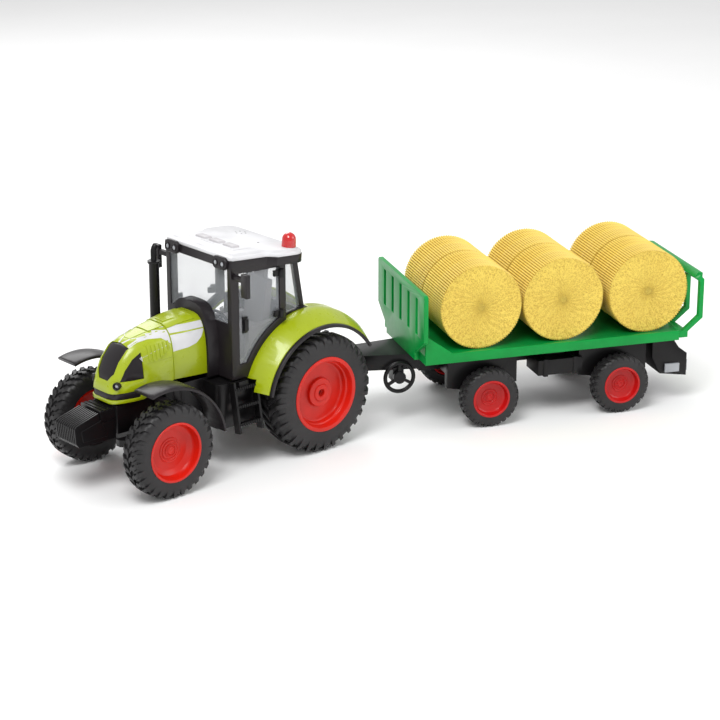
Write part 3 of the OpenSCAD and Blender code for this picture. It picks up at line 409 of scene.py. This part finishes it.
def joined(*parts):
    points, faces, start = [], [], 0
    for some_points, some_faces in parts:
        points.append(np.asarray(some_points, float))
        faces += [[i + start for i in face] for face in some_faces]
        start += len(some_points)
    return np.vstack(points), faces


def moved(part, matrix):
    turn = np.array(matrix)
    return np.asarray(part[0], float) @ turn[:3, :3].T + turn[:3, 3], part[1]


def mirrored(part):
    """The same part on the other side."""
    return np.asarray(part[0], float) * (1, -1, 1), part[1]


def spot(x, y, z):
    return Matrix.Translation((x, y, z))


def turned(profile, steps=96):
    """A closed outline of (radius, height) points turned about Z."""
    angle = np.arange(steps) * 2 * math.pi / steps
    radius, height = np.array(profile, float).T
    points = np.stack([np.outer(np.cos(angle), radius), np.outer(np.sin(angle), radius),
                       np.tile(height, (steps, 1))], -1)
    return grid(points, True, True)


def grid(points, close_rows=False, close_columns=False):
    """Faces between the rows and columns of a table of points."""
    rows, columns = points.shape[:2]
    faces = [[i * columns + j, (i + 1) % rows * columns + j,
              (i + 1) % rows * columns + (j + 1) % columns, i * columns + (j + 1) % columns]
             for i in range(rows - (not close_rows)) for j in range(columns - (not close_columns))]
    return points.reshape(-1, 3), faces


def prism(outline, low, high):
    """An outline in x and y, extruded from low to high."""
    n = len(outline)
    points = [(x, y, low) for x, y in outline] + [(x, y, high) for x, y in outline]
    return points, ([list(range(n))[::-1], list(range(n, 2 * n))]
                    + [[i, (i + 1) % n, n + (i + 1) % n, n + i] for i in range(n)])


def brick(low, high):
    (x0, y0, z0), (x1, y1, z1) = low, high
    return prism([(x0, y0), (x1, y0), (x1, y1), (x0, y1)], z0, z1)


def side_plate(outline, y0, y1):
    """An outline in x and z, extruded from y0 to y1."""
    return moved(prism(outline, -y1, -y0), Matrix.Rotation(math.pi / 2, 4, "X"))


def rod(start, end, radius, end_radius=None, steps=24):
    """A round bar between two points."""
    start, end = Vector(start), Vector(end)
    length = (end - start).length
    lean = (end - start).to_track_quat("Z", "Y").to_matrix().to_4x4()
    angle = [i * 2 * math.pi / steps for i in range(steps)]
    points = [(radius * math.cos(a), radius * math.sin(a), 0) for a in angle]
    end_radius = radius if end_radius is None else end_radius
    points += [(end_radius * math.cos(a), end_radius * math.sin(a), length) for a in angle]
    faces = [list(range(steps))[::-1], list(range(steps, 2 * steps))]
    faces += [[i, (i + 1) % steps, steps + (i + 1) % steps, steps + i] for i in range(steps)]
    return moved((points, faces), spot(*start) @ lean)


def piece(name, part, base, node, slot, smooth=32, soft=0.0, stands_for=()):
    """Makes a part into a piece that moves with a CAD node's body."""
    points, faces = part
    mesh = bpy.data.meshes.new(name)
    mesh.from_pydata((np.asarray(points, float) * MM).tolist(), [], faces)
    sorted_mesh = bmesh.new()
    sorted_mesh.from_mesh(mesh)
    bmesh.ops.recalc_face_normals(sorted_mesh, faces=sorted_mesh.faces)
    sorted_mesh.to_mesh(mesh)
    sorted_mesh.free()
    mesh.materials.append(FINISHES[slot])
    for face in mesh.polygons:
        face.use_smooth = True
    mesh.set_sharp_from_angle(angle=math.radians(smooth))
    made = bpy.data.objects.new(name, mesh)
    bpy.context.scene.collection.objects.link(made)
    made.matrix_world = base
    if soft:
        soften(made, soft, smooth)
    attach(made, body_of(frame["nodes"][node])[0])
    if stands_for:
        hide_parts(*stands_for)
    return made


def surfaces(*nodes):
    """The CAD faces that thin pieces are laid on."""
    parts = []
    for node in nodes:
        mesh = frame["nodes"][node].data
        parts.append((points_of(node, TRACTOR), [list(face.vertices) for face in mesh.polygons]))
    points, faces = joined(*parts)
    return BVHTree.FromPolygons(points.tolist(), faces)


def laid(points, towards, on, lift, sink=0.4):
    """A thin piece laid on a surface: each point of a table is carried along until it meets it."""
    towards = Vector(towards).normalized()
    top, under = [], []
    for point in points.reshape(-1, 3):
        hit, normal, _, _ = on.ray_cast(Vector(point), towards)
        if hit is None:
            hit, normal, _, _ = on.find_nearest(Vector(point) + towards * 20)
        normal = -normal if normal.dot(towards) > 0 else normal
        top.append(hit + normal * lift)
        under.append(hit - normal * sink)
    rows, columns = points.shape[:2]
    count = rows * columns
    _, faces = grid(points)
    ring = ([(0, j) for j in range(columns)] + [(i, columns - 1) for i in range(1, rows)]
            + [(rows - 1, j) for j in range(columns - 2, -1, -1)] + [(i, 0) for i in range(rows - 2, 0, -1)])
    ring = [i * columns + j for i, j in ring]
    faces = faces + [[i + count for i in face[::-1]] for face in faces]
    faces += [[a, b, b + count, a + count] for a, b in zip(ring, ring[1:] + ring[:1])]
    return np.array([tuple(p) for p in top + under]), faces


def side_field(xs, low, high, rows=6, y=-90.0):
    """Points between a lower and an upper line of (x, z) corners, out beside the tractor."""
    low_z, high_z = (np.interp(xs, *np.array(line, float).T) for line in (low, high))
    share = np.linspace(0, 1, rows)[:, None]
    z = low_z * (1 - share) + high_z * share
    return np.stack([np.tile(xs, (rows, 1)), np.full_like(z, y), z], -1)


# ---------- tyres ----------

def tread(count, bar, width, bar_top, bar_foot, hand):
    """Tread bars on both halves of a tyre. bar is a line of (height, degrees) points from the middle
    of the tread outwards; bar_top and bar_foot are (height, radius) lines."""
    line_z, sweep = np.array(bar, float).T
    z = np.concatenate([np.linspace(a, b, 3)[:-1] for a, b in zip(line_z, line_z[1:])] + [line_z[-1:]])
    sweep = np.interp(z, line_z, sweep) * hand
    top, foot = (np.interp(z, *np.array(line, float).T) for line in (bar_top, bar_foot))
    parts = []
    for side in (1, -1):
        for k in range(count):
            middle_angle = 360 / count * (k + (0.5 if side < 0 else 0)) + sweep
            corners = []
            for offset, radius in ((-0.5, foot), (-0.41, top), (0.41, top), (0.5, foot)):
                angle = np.radians(middle_angle + offset * width)
                corners.append(np.stack([radius * np.cos(angle), radius * np.sin(angle), side * z], -1))
            points, faces = grid(np.stack(corners, 1), False, True)
            last = len(points) - 4
            parts.append((points, faces + [[0, 1, 2, 3], [last + 3, last + 2, last + 1, last]]))
    return joined(*parts)


BAR_SINK = 0.8      # how far the tread bars start inside the tyre, in millimetres


def wheels(kind, tyres, rims, base, width, tyre_profile, bar, count, bar_width, bar_top, rim_profile,
           rim_slot):
    """Both wheels of an axle: a tyre with its tread bars, and a rim. width is in millimetres and
    bar_width in degrees around the tyre."""
    low, high = local_box(tyres, base)
    x, z = (low[0] + high[0]) / 2, (low[2] + high[2]) / 2
    foot = sorted((h, r - BAR_SINK) for r, h in tyre_profile)
    whole = tyre_profile + [(r, -h) for r, h in tyre_profile[::-1] if h > 0]
    for side, name in ((-1, "left"), (1, "right")):
        place = base @ Matrix.Translation((x * MM, side * (high[1] - width / 2) * MM, z * MM)) \
            @ Matrix.Rotation(-side * math.pi / 2, 4, "X")
        piece(f"{kind}_tyre_{name}", joined(turned(whole), tread(count, bar, bar_width, bar_top, foot, side)),
              place, tyres, "tyre_rubber", smooth=38, stands_for=(tyres,))
        piece(f"{kind}_rim_{name}", turned(rim_profile), place, rims, rim_slot, smooth=25, stands_for=(rims,))


def rounded(profile, reach, steps=3):
    """Rounds the corners of an open (radius, height) line."""
    points = [profile[0]]
    for before, corner, after in zip(profile, profile[1:], profile[2:]):
        before, corner, after = (np.array(p, float) for p in (before, corner, after))
        back, on = before - corner, after - corner
        back_length, on_length = np.hypot(*back), np.hypot(*on)
        cut = min(reach, 0.45 * back_length, 0.45 * on_length)
        a, b = corner + back / back_length * cut, corner + on / on_length * cut
        for t in np.linspace(0, 1, steps + 1):
            points.append(tuple((1 - t) ** 2 * a + 2 * t * (1 - t) * corner + t * t * b))
    return points + [profile[-1]]


# Tyre outlines are (radius, height) from the bead out to the middle of the tread; the bars run
# along (height, degrees) lines and their crowns along (height, radius) lines.
REAR_TYRE = rounded([(32.05, 13.5), (32.6, 14.7), (34, 15), (40, 15), (44.5, 14.6), (47.2, 13.3),
                     (48.8, 11.3), (49.4, 8), (49.5, 0)], 1.2, 2)
REAR_BAR = [(0.6, 0), (5, 4.6), (10, 9), (13.4, 11.2), (14.9, 11.9)]
REAR_CROWN = [(0, 52), (9.5, 51.9), (12, 51.2), (13.6, 49.7), (14.5, 48.4), (14.9, 46.6)]
REAR_RIM = rounded([(2.1, 6), (3.2, 6), (3.2, 9.4), (7.2, 9.4), (7.6, 8.2), (12.0, 8.2), (12.5, 7.6),
                    (12.7, 4.6), (25, 4.4), (26.5, 5), (27, 9), (28.3, 9.6), (29, 13), (29.6, 15.3),
                    (32.9, 15.3), (33, 14.7), (32.05, 14), (32.05, -13.5), (29, -14), (28, 1), (2.1, 1)], 0.7)
FRONT_TYRE = rounded([(24.55, 9.5), (25.2, 10.8), (27, 11), (31.5, 11), (34.5, 10.5), (36.6, 9.3),
                      (37.8, 7.4), (38.2, 5), (38.3, 0)], 1.2, 2)
FRONT_BAR = [(0.5, 0), (3.2, 4.5), (5.2, 3.2), (8.6, 8), (10.9, 8.8)]
FRONT_CROWN = [(0, 40), (6.5, 39.9), (8.8, 39.2), (10.2, 37.9), (10.9, 36.4)]
FRONT_RIM = rounded([(0.02, 3.7), (1.6, 3.7), (2.2, 4.3), (3.0, 4.2), (4.2, 3.0), (4.4, 3.8), (5.4, 3.8),
                     (5.6, 2.7), (6.8, 2.6), (7.0, 3.2), (8.0, 3.2), (8.2, 2.3), (9.4, 2.2), (9.6, 2.7),
                     (10.4, 2.7), (10.6, 2.0), (17, 1.7), (21.4, 3.6), (22.6, 6), (23, 9.6),
                     (23.4, 11.2), (25.2, 11.35), (25.5, 11), (24.55, 10.2), (24.55, -9.5),
                     (22.5, -10), (21.5, -1), (0.02, -1)], 0.5)
TRAILER_TYRE = rounded([(16.05, 7), (16.6, 7.9), (18.5, 8), (21.4, 7.9), (23.6, 7.1), (24.8, 5.8),
                        (25.3, 4), (25.4, 0)], 0.9, 2)
TRAILER_BAR = [(0.4, 0), (2.2, 4.5), (3.8, 3.0), (6, 7.5), (7.6, 8.5)]
TRAILER_CROWN = [(0, 26.5), (4.6, 26.4), (6.2, 25.9), (7.2, 24.9), (7.8, 23.4)]
TRAILER_RIM = rounded([(0.02, 3.0), (1.3, 3.0), (1.6, 3.7), (2.5, 3.6), (2.8, 2.8), (3.8, 2.8), (4.0, 2.2),
                       (4.4, 3.2), (5.2, 3.2), (5.4, 2.4), (6.6, 2.3), (6.8, 2.9), (7.5, 2.9), (7.7, 2.2),
                       (12.6, 2.1), (14, 3), (14.6, 5.4), (15.1, 8.2), (16.8, 8.35), (17, 8),
                       (16.05, 7.4), (16.05, -7), (14.5, -7.4), (13.8, 0), (0.02, 0)], 0.4)

wheels("rear", "rear_tyres", "rear_rims", TRACTOR, width=30, tyre_profile=REAR_TYRE, bar=REAR_BAR,
       count=32, bar_width=5.1, bar_top=REAR_CROWN, rim_profile=REAR_RIM, rim_slot="orange_rim")
wheels("front", "front_tyres", "front_rims", TRACTOR, width=22, tyre_profile=FRONT_TYRE, bar=FRONT_BAR,
       count=30, bar_width=6.6, bar_top=FRONT_CROWN, rim_profile=FRONT_RIM, rim_slot="orange_rim")
for axle in ("front", "rear"):
    wheels(f"trailer_{axle}", f"trailer_{axle}_tyres", f"trailer_{axle}_rims", TRAILER, width=16,
           tyre_profile=TRAILER_TYRE, bar=TRAILER_BAR, count=27, bar_width=7.2, bar_top=TRAILER_CROWN,
           rim_profile=TRAILER_RIM, rim_slot="red_rim")


# ---------- bales ----------

def bale_form(radius, length, ribs=104):
    """A pressed bale: ribs along it, a toothed rim, and end faces with rings of short strokes."""
    around = ribs * 6
    angle = np.arange(around) * 2 * math.pi / around
    rib = np.abs(np.cos(angle * ribs / 2)) ** 0.7
    half = length / 2
    rows = []
    inner = np.linspace(3, radius - 2.6, 13)
    swirl = 0.25 * np.sin(angle[None, :] * 24 + inner[:, None] * 1.9)
    for r, wave in zip(inner, swirl):
        rows.append((np.full(around, r), half - 0.35 + wave))
    rows += [(radius - 2.3 + 0.4 * rib, np.full(around, half - 0.1)),
             (radius - 1.7 + 1.5 * rib, np.full(around, half - 0.3)),
             (radius - 1.5 + 1.5 * rib, np.full(around, half - 1.4)),
             (radius - 1.5 + 1.3 * rib, np.full(around, half - 2.2))]
    for band in (0.62, 0.30, 0.0):
        rows += [(radius - 1.45 + 1.4 * rib, np.full(around, half * band + 0.9)),
                 (radius - 1.55 + 1.0 * rib, np.full(around, half * band + 0.2))]
    radii = np.array([r for r, _ in rows] + [r for r, _ in rows[::-1]])
    heights = np.array([h for _, h in rows] + [-h for _, h in rows[::-1]])
    points, faces = grid(np.stack([radii * np.cos(angle), radii * np.sin(angle), heights], -1), False, True)
    last = len(points) - around
    return points, faces + [list(range(around))[::-1], list(range(last, last + around))]


# the bales of a row are rolled a little differently, in radians
BALE_ROLL = {"front": 0, "middle": 0.4, "rear": 1.1}
for node in [name for name in frame["nodes"] if name.startswith("bale_")]:
    row = node.split("_")[1]
    low, high = local_box(node, TRAILER)
    centre = (low + high) / 2 * MM
    piece(node + "_straw", bale_form((high[2] - low[2]) / 2, high[1] - low[1]),
          TRAILER @ Matrix.Translation(centre) @ Matrix.Rotation(math.pi / 2, 4, "X")
          @ Matrix.Rotation(BALE_ROLL[row], 4, "Z"),
          node, "straw", smooth=60, stands_for=(node,))


# ---------- bonnet ----------

bonnet = surfaces("bonnet_front", "bonnet_rear")
split_x = (local_box("bonnet_front", TRACTOR)[1][0] + local_box("bonnet_rear", TRACTOR)[0][0]) / 2


def on_both_sides(name, parts, node, slot, smooth=32, soft=0.0):
    """The same parts on the left and on the right of the tractor."""
    left = joined(*parts)
    piece(name, joined(left, mirrored(left)), TRACTOR, node, slot, smooth, soft)


INWARDS, DOWN = (0, 1, 0), (0, 0, -1)
SPLIT_GAP = 0.6           # half the gap between the front and the rear half of the bonnet
STRIPE_LIFT = 0.12
front_end, rear_start = split_x - SPLIT_GAP, split_x + SPLIT_GAP

stripe_low = [(-169.5, 117.2), (-166, 115.6), (-157, 119.4), (-147, 121.0), (split_x - 8, 120.4),
              (front_end, 115)]
stripe_high = [(-169.5, 117.4), (-166, 120.2), (-158, 123.6), (-148, 125.8), (-138, 126.6),
               (front_end, 127.0)]
on_both_sides("stripe_front", [
    laid(side_field(np.linspace(-169.4, front_end, 40), stripe_low, stripe_high), INWARDS, bonnet,
         STRIPE_LIFT)], "bonnet_front", "white_cover")
on_both_sides("stripe_rear", [
    laid(side_field(np.linspace(rear_start, -94.6, 24), [(split_x, 122.4), (-94, 121.8)],
                    [(split_x, 127.2), (-94, 127.0)]), INWARDS, bonnet, STRIPE_LIFT),
    laid(side_field(np.linspace(rear_start, -95.0, 30),
                    [(split_x, 107.8), (-112, 108.6), (-104, 110.4), (-98, 114.6), (-94.6, 120.6)],
                    [(split_x, 121.0), (-94, 120.8)]), INWARDS, bonnet, STRIPE_LIFT)],
              "bonnet_rear", "white_cover")

louvre_low = [(-152.5, 104), (-146, 104), (-140, 105.5), (-135, 108.5), (-130.5, 113)]
louvre_high = [(-152.5, 116.4), (-146, 116.8), (-140, 117.0), (-130, 118.0)]
LOUVRE_START, LOUVRE_PITCH, LOUVRE_WIDTH = -151.2, 3.7, 1.9
slats = []
for k in range(6):
    x = LOUVRE_START + LOUVRE_PITCH * k
    slats.append(laid(side_field(np.linspace(x, x + LOUVRE_WIDTH, 4), louvre_low, louvre_high),
                      INWARDS, bonnet, 0.55))
on_both_sides("bonnet_louvres", slats, "bonnet_front", "lime_body", soft=0.15)
edge_low = [(x, z - 1.2) for x, z in louvre_low]
on_both_sides("louvre_edge", [
    laid(side_field(np.linspace(-153.4, -130.2, 24), edge_low, louvre_low, 3), INWARDS, bonnet, 0.35)],
              "bonnet_front", "lime_body", soft=0.1)
on_both_sides("bonnet_crease", [
    laid(side_field(np.linspace(-157, split_x - 0.7, 20), [(-157, 128.1), (-145, 128.6), (split_x, 129.1)],
                    [(-157, 128.4), (-145, 129.1), (split_x, 129.6)], 3), (0, 0.5, -1), bonnet, 0.3)],
              "bonnet_front", "lime_body")


def top_field(x0, x1, half0, half1, columns=14, rows=9):
    """Points above the bonnet between two places along it, with the half width at each."""
    x = np.linspace(x0, x1, columns)
    half = np.interp(x, (x0, x1), (half0, half1))
    y = np.linspace(-1, 1, rows)[:, None] * half
    return np.stack([np.tile(x, (rows, 1)), y, np.full_like(y, 200.0)], -1)


# raised panels along the bonnet's top, a low and a high one on each half
piece("bonnet_top_front", joined(laid(top_field(split_x - 14, front_end, 8, 10), DOWN, bonnet, 0.8),
                                 laid(top_field(split_x - 30, split_x - 15, 4, 7), DOWN, bonnet, 0.4)),
      TRACTOR, "bonnet_front", "lime_body", soft=0.3)
piece("bonnet_top_rear", joined(laid(top_field(rear_start, -100, 14, 15), DOWN, bonnet, 0.9),
                                laid(top_field(split_x + 3, split_x + 13, 5.5, 7.5), DOWN, bonnet, 1.6)),
      TRACTOR, "bonnet_rear", "lime_body", soft=0.3)

# headlamps: a dark cup with a small bright lens
HEADLAMP = (-180.3, 15.6, 88.1)
HEADLAMP_TURN = math.radians(25)
CUP = rounded([(1.9, 0), (1.95, 0.6), (2.5, 1.6), (3.1, 1.7), (3.3, 1.2), (3.3, -2), (1.9, -2)], 0.3)
CUP_LENS = rounded([(0.02, 0.9), (0.8, 0.8), (1.5, 0.4), (1.9, -0.3), (1.9, -1), (0.02, -1)], 0.3)
for side, name in ((-1, "left"), (1, "right")):
    x, y, z = HEADLAMP
    cup = (TRACTOR @ Matrix.Translation((x * MM, side * y * MM, z * MM))
           @ Matrix.Rotation(-side * HEADLAMP_TURN, 4, "Z") @ Matrix.Rotation(-math.pi / 2, 4, "Y"))
    piece(f"headlamp_cup_{name}", turned(CUP), cup, "headlamps", "charcoal_frame")
    piece(f"headlamp_lens_{name}", turned(CUP_LENS, 48), cup, "headlamps", "lamp_lens",
          stands_for=("headlamps",))

# ---------- front weight ----------

nose = local_box("front_weight", TRACTOR)[0][0]
PLATE_PITCH, PLATE_THICK, PLATE_START = 2.57, 1.7, -14
weight_line = [(nose + 2.2, 62.4), (nose, 60.4), (nose + 1.2, 47), (nose + 4, 43.4), (-181.4, 43.4),
               (-181.4, 59.6), (-196.4, 59.6), (-198, 68.6)]
plates = [side_plate(weight_line, PLATE_START + PLATE_PITCH * k, PLATE_START + PLATE_PITCH * k + PLATE_THICK)
          for k in range(11)]
core = side_plate([(nose + 3.4, 60.6), (nose + 1.6, 58), (nose + 3.4, 46), (-181.6, 44), (-181.6, 59.4),
                   (-196.6, 59.4), (-198.4, 67.2)], -13.6, 13.6)
ridge = side_plate([(nose + 6, 57), (-196, 62), (-190, 47), (nose + 8, 47)], -14.4, 14.4)
piece("weight_plates", joined(*plates, core), TRACTOR, "front_weight", "black_plastic", soft=0.35,
      stands_for=("front_weight",))
piece("weight_side", ridge, TRACTOR, "front_weight", "black_plastic", soft=0.4)

# ---------- steps ----------

# a ladder is drawn upright, with z = 0 at the cab's floor, and then leant outwards
low, high = local_box("cab_steps", TRACTOR)
STEP_LEAN = math.radians(10)
LADDER_TOP = (0, -43.1, 78)
RAIL_WIDTH = 2.4
TOOTH_PITCH = 2.3
front_x, back_x = low[0], high[0]
rung_z = (-38, -23, -8)
ladder = [brick((x, -7, -45), (x + RAIL_WIDTH, 0.4, -1)) for x in (front_x, back_x - RAIL_WIDTH)]
for z in rung_z:
    ladder.append(brick((front_x + 1, -7.6, z), (back_x - 1, 0, z + 1.6)))
    for k in range(9):
        tooth = front_x + 2.8 + TOOTH_PITCH * k
        ladder.append(brick((tooth, -8.3, z - 0.6), (tooth + 1.3, -6.6, z + 2.3)))
ladder.append(brick((front_x + 7, -5, -7), (front_x + 17, 0, -2)))
left = moved(joined(*ladder), spot(*LADDER_TOP) @ Matrix.Rotation(-STEP_LEAN, 4, "X"))
piece("cab_ladders", joined(left, mirrored(left)), TRACTOR, "cab_steps", "black_plastic", soft=0.4,
      stands_for=("cab_steps",))

# ---------- roof ----------

ROOF_TILT = math.radians(4.5)
LEANING = TRACTOR @ Matrix.Rotation(ROOF_TILT, 4, "Y")
cover_low, cover_high = local_box("roof_cover", LEANING)
# x and z from the front edge of the roof cover's underside
ROOF = LEANING @ Matrix.Translation((cover_low[0] * MM, 0, cover_low[2] * MM))
cover_length, cover_half = cover_high[0] - cover_low[0], cover_high[1]
narrow_half = cover_half - 6.2
WIDENING_X = 44
COVER_CORNER = 13


def roof_line(inset):
    """Plan outline of the roof cover: narrow in front, wide and rounded behind."""
    line = [(inset + 2, -narrow_half + inset), (WIDENING_X - 7, -narrow_half + inset),
            (WIDENING_X - 4, -narrow_half - 1.5 + inset), (WIDENING_X + 1, -cover_half + inset)]
    for step in range(9):
        a = math.radians(-90 + 90 * step / 8)
        line.append((cover_length - COVER_CORNER + (COVER_CORNER - inset) * math.cos(a),
                     -cover_half + COVER_CORNER + (COVER_CORNER - inset) * math.sin(a)))
    line = [(inset, -narrow_half + inset + 2)] + line
    return line + [(x, -y) for x, y in line[::-1]]


def stacked(line, levels):
    """A solid whose outline changes from level to level: (height, inset)."""
    loops = np.array([[(x, y, z) for x, y in line(inset)] for z, inset in levels], float)
    points, faces = grid(loops, False, True)
    count = loops.shape[1]
    last = len(points) - count
    return points, faces + [list(range(count))[::-1], list(range(last, last + count))]


cover_top = cover_high[2] - cover_low[2]
piece("roof_shell",
      stacked(roof_line, [(0, 0.2), (0.3, 0), (2.2, 0.1), (2.9, 0.9), (3.0, 3.4), (cover_top - 0.9, 4.2),
                          (cover_top - 0.25, 4.7), (cover_top, 5.6)]),
      ROOF, "roof_cover", "white_cover", smooth=50, stands_for=("roof_cover",))


def hole(x, y, radius, steps):
    """A small dark disc on the roof cover's top: painted shade standing in for a hole."""
    return rod((x, y, cover_top - 0.5), (x, y, cover_top + 0.02), radius, steps=steps)


SPEAKER_X, SPEAKER_Y, SPEAKER_RING = 60, 18, 4.5
# the speaker holes are charcoal discs: painted shade in place of openings
holes = [hole(SPEAKER_X + SPEAKER_RING * math.cos(k * math.pi / 3),
              SPEAKER_Y + SPEAKER_RING * math.sin(k * math.pi / 3), 0.75, 12) for k in range(6)]
holes += [hole(50, -18, 1.0, 16)]
piece("speaker_holes", joined(*holes), ROOF, "roof_cover", "charcoal_frame")

LEDGE_FRONT, LEDGE_BACK, LEDGE_HALF = 13, 32, 31


def ledge_line(inset):
    """Plan outline of the ledge under the buttons."""
    front, back, half = LEDGE_FRONT + inset, LEDGE_BACK - inset, LEDGE_HALF - inset
    return [(front, -half), (back, -half), (back, half), (front, half)]


piece("button_ledge", stacked(ledge_line, [(cover_top - 0.5, 0), (cover_top + 0.3, 0.1),
                                           (cover_top + 0.5, 0.6)]),
      ROOF, "roof_cover", "white_cover", smooth=20)


def pod_line(inset):
    """A rounded lamp pod, seen from the front."""
    line = []
    for cx, cy, start in ((4.6, 1.2, 0), (-4.6, 1.2, 90), (-4.6, -0.8, 180), (4.6, -0.8, 270)):
        for step in range(6):
            a = math.radians(start + 18 * step)
            line.append((cx + (4.4 - inset) * math.cos(a), cy + (4.4 - inset) * math.sin(a)))
    return line


low, high = local_box("roof_lamps", LEANING)
POD_Y, LAMP_Y = 32.5, 4.4      # middle of a pod, and of each of its two lamps in it
LAMP_RING = [(2.1, 1.0), (2.4, 2.0), (3.0, 2.0), (3.3, 1.0), (3.3, 0.6), (2.1, 0.6)]
LAMP_LENS = [(0.02, 2.0), (1.2, 1.8), (2.15, 1.1), (2.15, 0.6), (0.02, 0.6)]
lamp_middle = (high[2] + low[2]) / 2
FACING = Matrix.Rotation(-math.pi / 2, 4, "Z") @ Matrix.Rotation(math.pi / 2, 4, "X")
pods, lenses = [], []
for side in (-1, 1):
    place = spot(low[0] + 1.2, side * POD_Y, lamp_middle) @ FACING
    pods.append(moved(stacked(pod_line, [(-1.6, 0), (0.6, 0), (1.3, 0.7)]), place))
    for x in (-LAMP_Y, LAMP_Y):
        pods.append(moved(turned(LAMP_RING, 32), place @ spot(x, 0, 0)))
        lenses.append(moved(turned(LAMP_LENS, 32), place @ spot(x, 0, 0)))
piece("lamp_pods", joined(*pods), LEANING, "cab_frame", "charcoal_frame", smooth=40)
piece("roof_lamp_lenses", joined(*lenses), LEANING, "roof_lamps", "lamp_lens", smooth=40,
      stands_for=("roof_lamps",))


def pad(half_x, half_y, height, corner=2.2, draft=0.8):
    """A soft button: rounded in plan, drawn in towards its top."""
    loops = []
    for z, inset in ((-1.5, 0.0), (height - 0.9, draft * 0.7), (height - 0.25, draft + 0.25),
                     (height, draft + 1.0)):
        ring = []
        for quarter, (sx, sy) in enumerate(((1, 1), (-1, 1), (-1, -1), (1, -1))):
            for step in range(5):
                a = math.radians(90 * quarter + 22.5 * step)
                ring.append((sx * (half_x - corner) + (corner - inset) * math.cos(a),
                             sy * (half_y - corner) + (corner - inset) * math.sin(a), z))
        loops.append(ring)
    points, faces = grid(np.array(loops), False, True)
    count = len(loops[0])
    return points, faces + [list(range(count))[::-1], list(range(3 * count, 4 * count))]


CAP_HALF_X, CAP_HALF_Y, CAP_HEIGHT = 4.7, 7.45, 2.2
for name in ("left", "middle", "right"):
    node = f"button_{name}"
    low, high = local_box(node, ROOF)
    place = ROOF @ Matrix.Translation(((low[0] + high[0]) / 2 * MM, (low[1] + high[1]) / 2 * MM,
                                       (high[2] - CAP_HEIGHT) * MM))
    piece(node + "_cap", pad(CAP_HALF_X, CAP_HALF_Y, CAP_HEIGHT), place, node, "button_white", smooth=50,
          stands_for=(node,))

low, high = local_box("beacon", ROOF)
reach = (high[0] - low[0]) / 2
dome = [(0.02, reach * 1.97)]
dome += [(reach * 0.97 * math.sin(math.radians(a)), reach * 0.98 + reach * 0.97 * math.cos(math.radians(a)))
         for a in range(8, 90, 8)]
dome += [(reach * 0.97, reach * 0.9), (reach, reach * 0.2), (reach, 0), (0.02, 0)]
foot = ROOF @ Vector(((low[0] + high[0]) / 2 * MM, (low[1] + high[1]) / 2 * MM, low[2] * MM))
foot = (foot - rear_axle) / MM
upright = spot(foot.x, foot.y, foot.z + rear_axle.z / MM) @ Matrix.Rotation(ROOF_TILT, 4, "Y")
piece("beacon_dome", moved(turned(dome, 64), upright), TRACTOR, "beacon", "red_lens", stands_for=("beacon",))
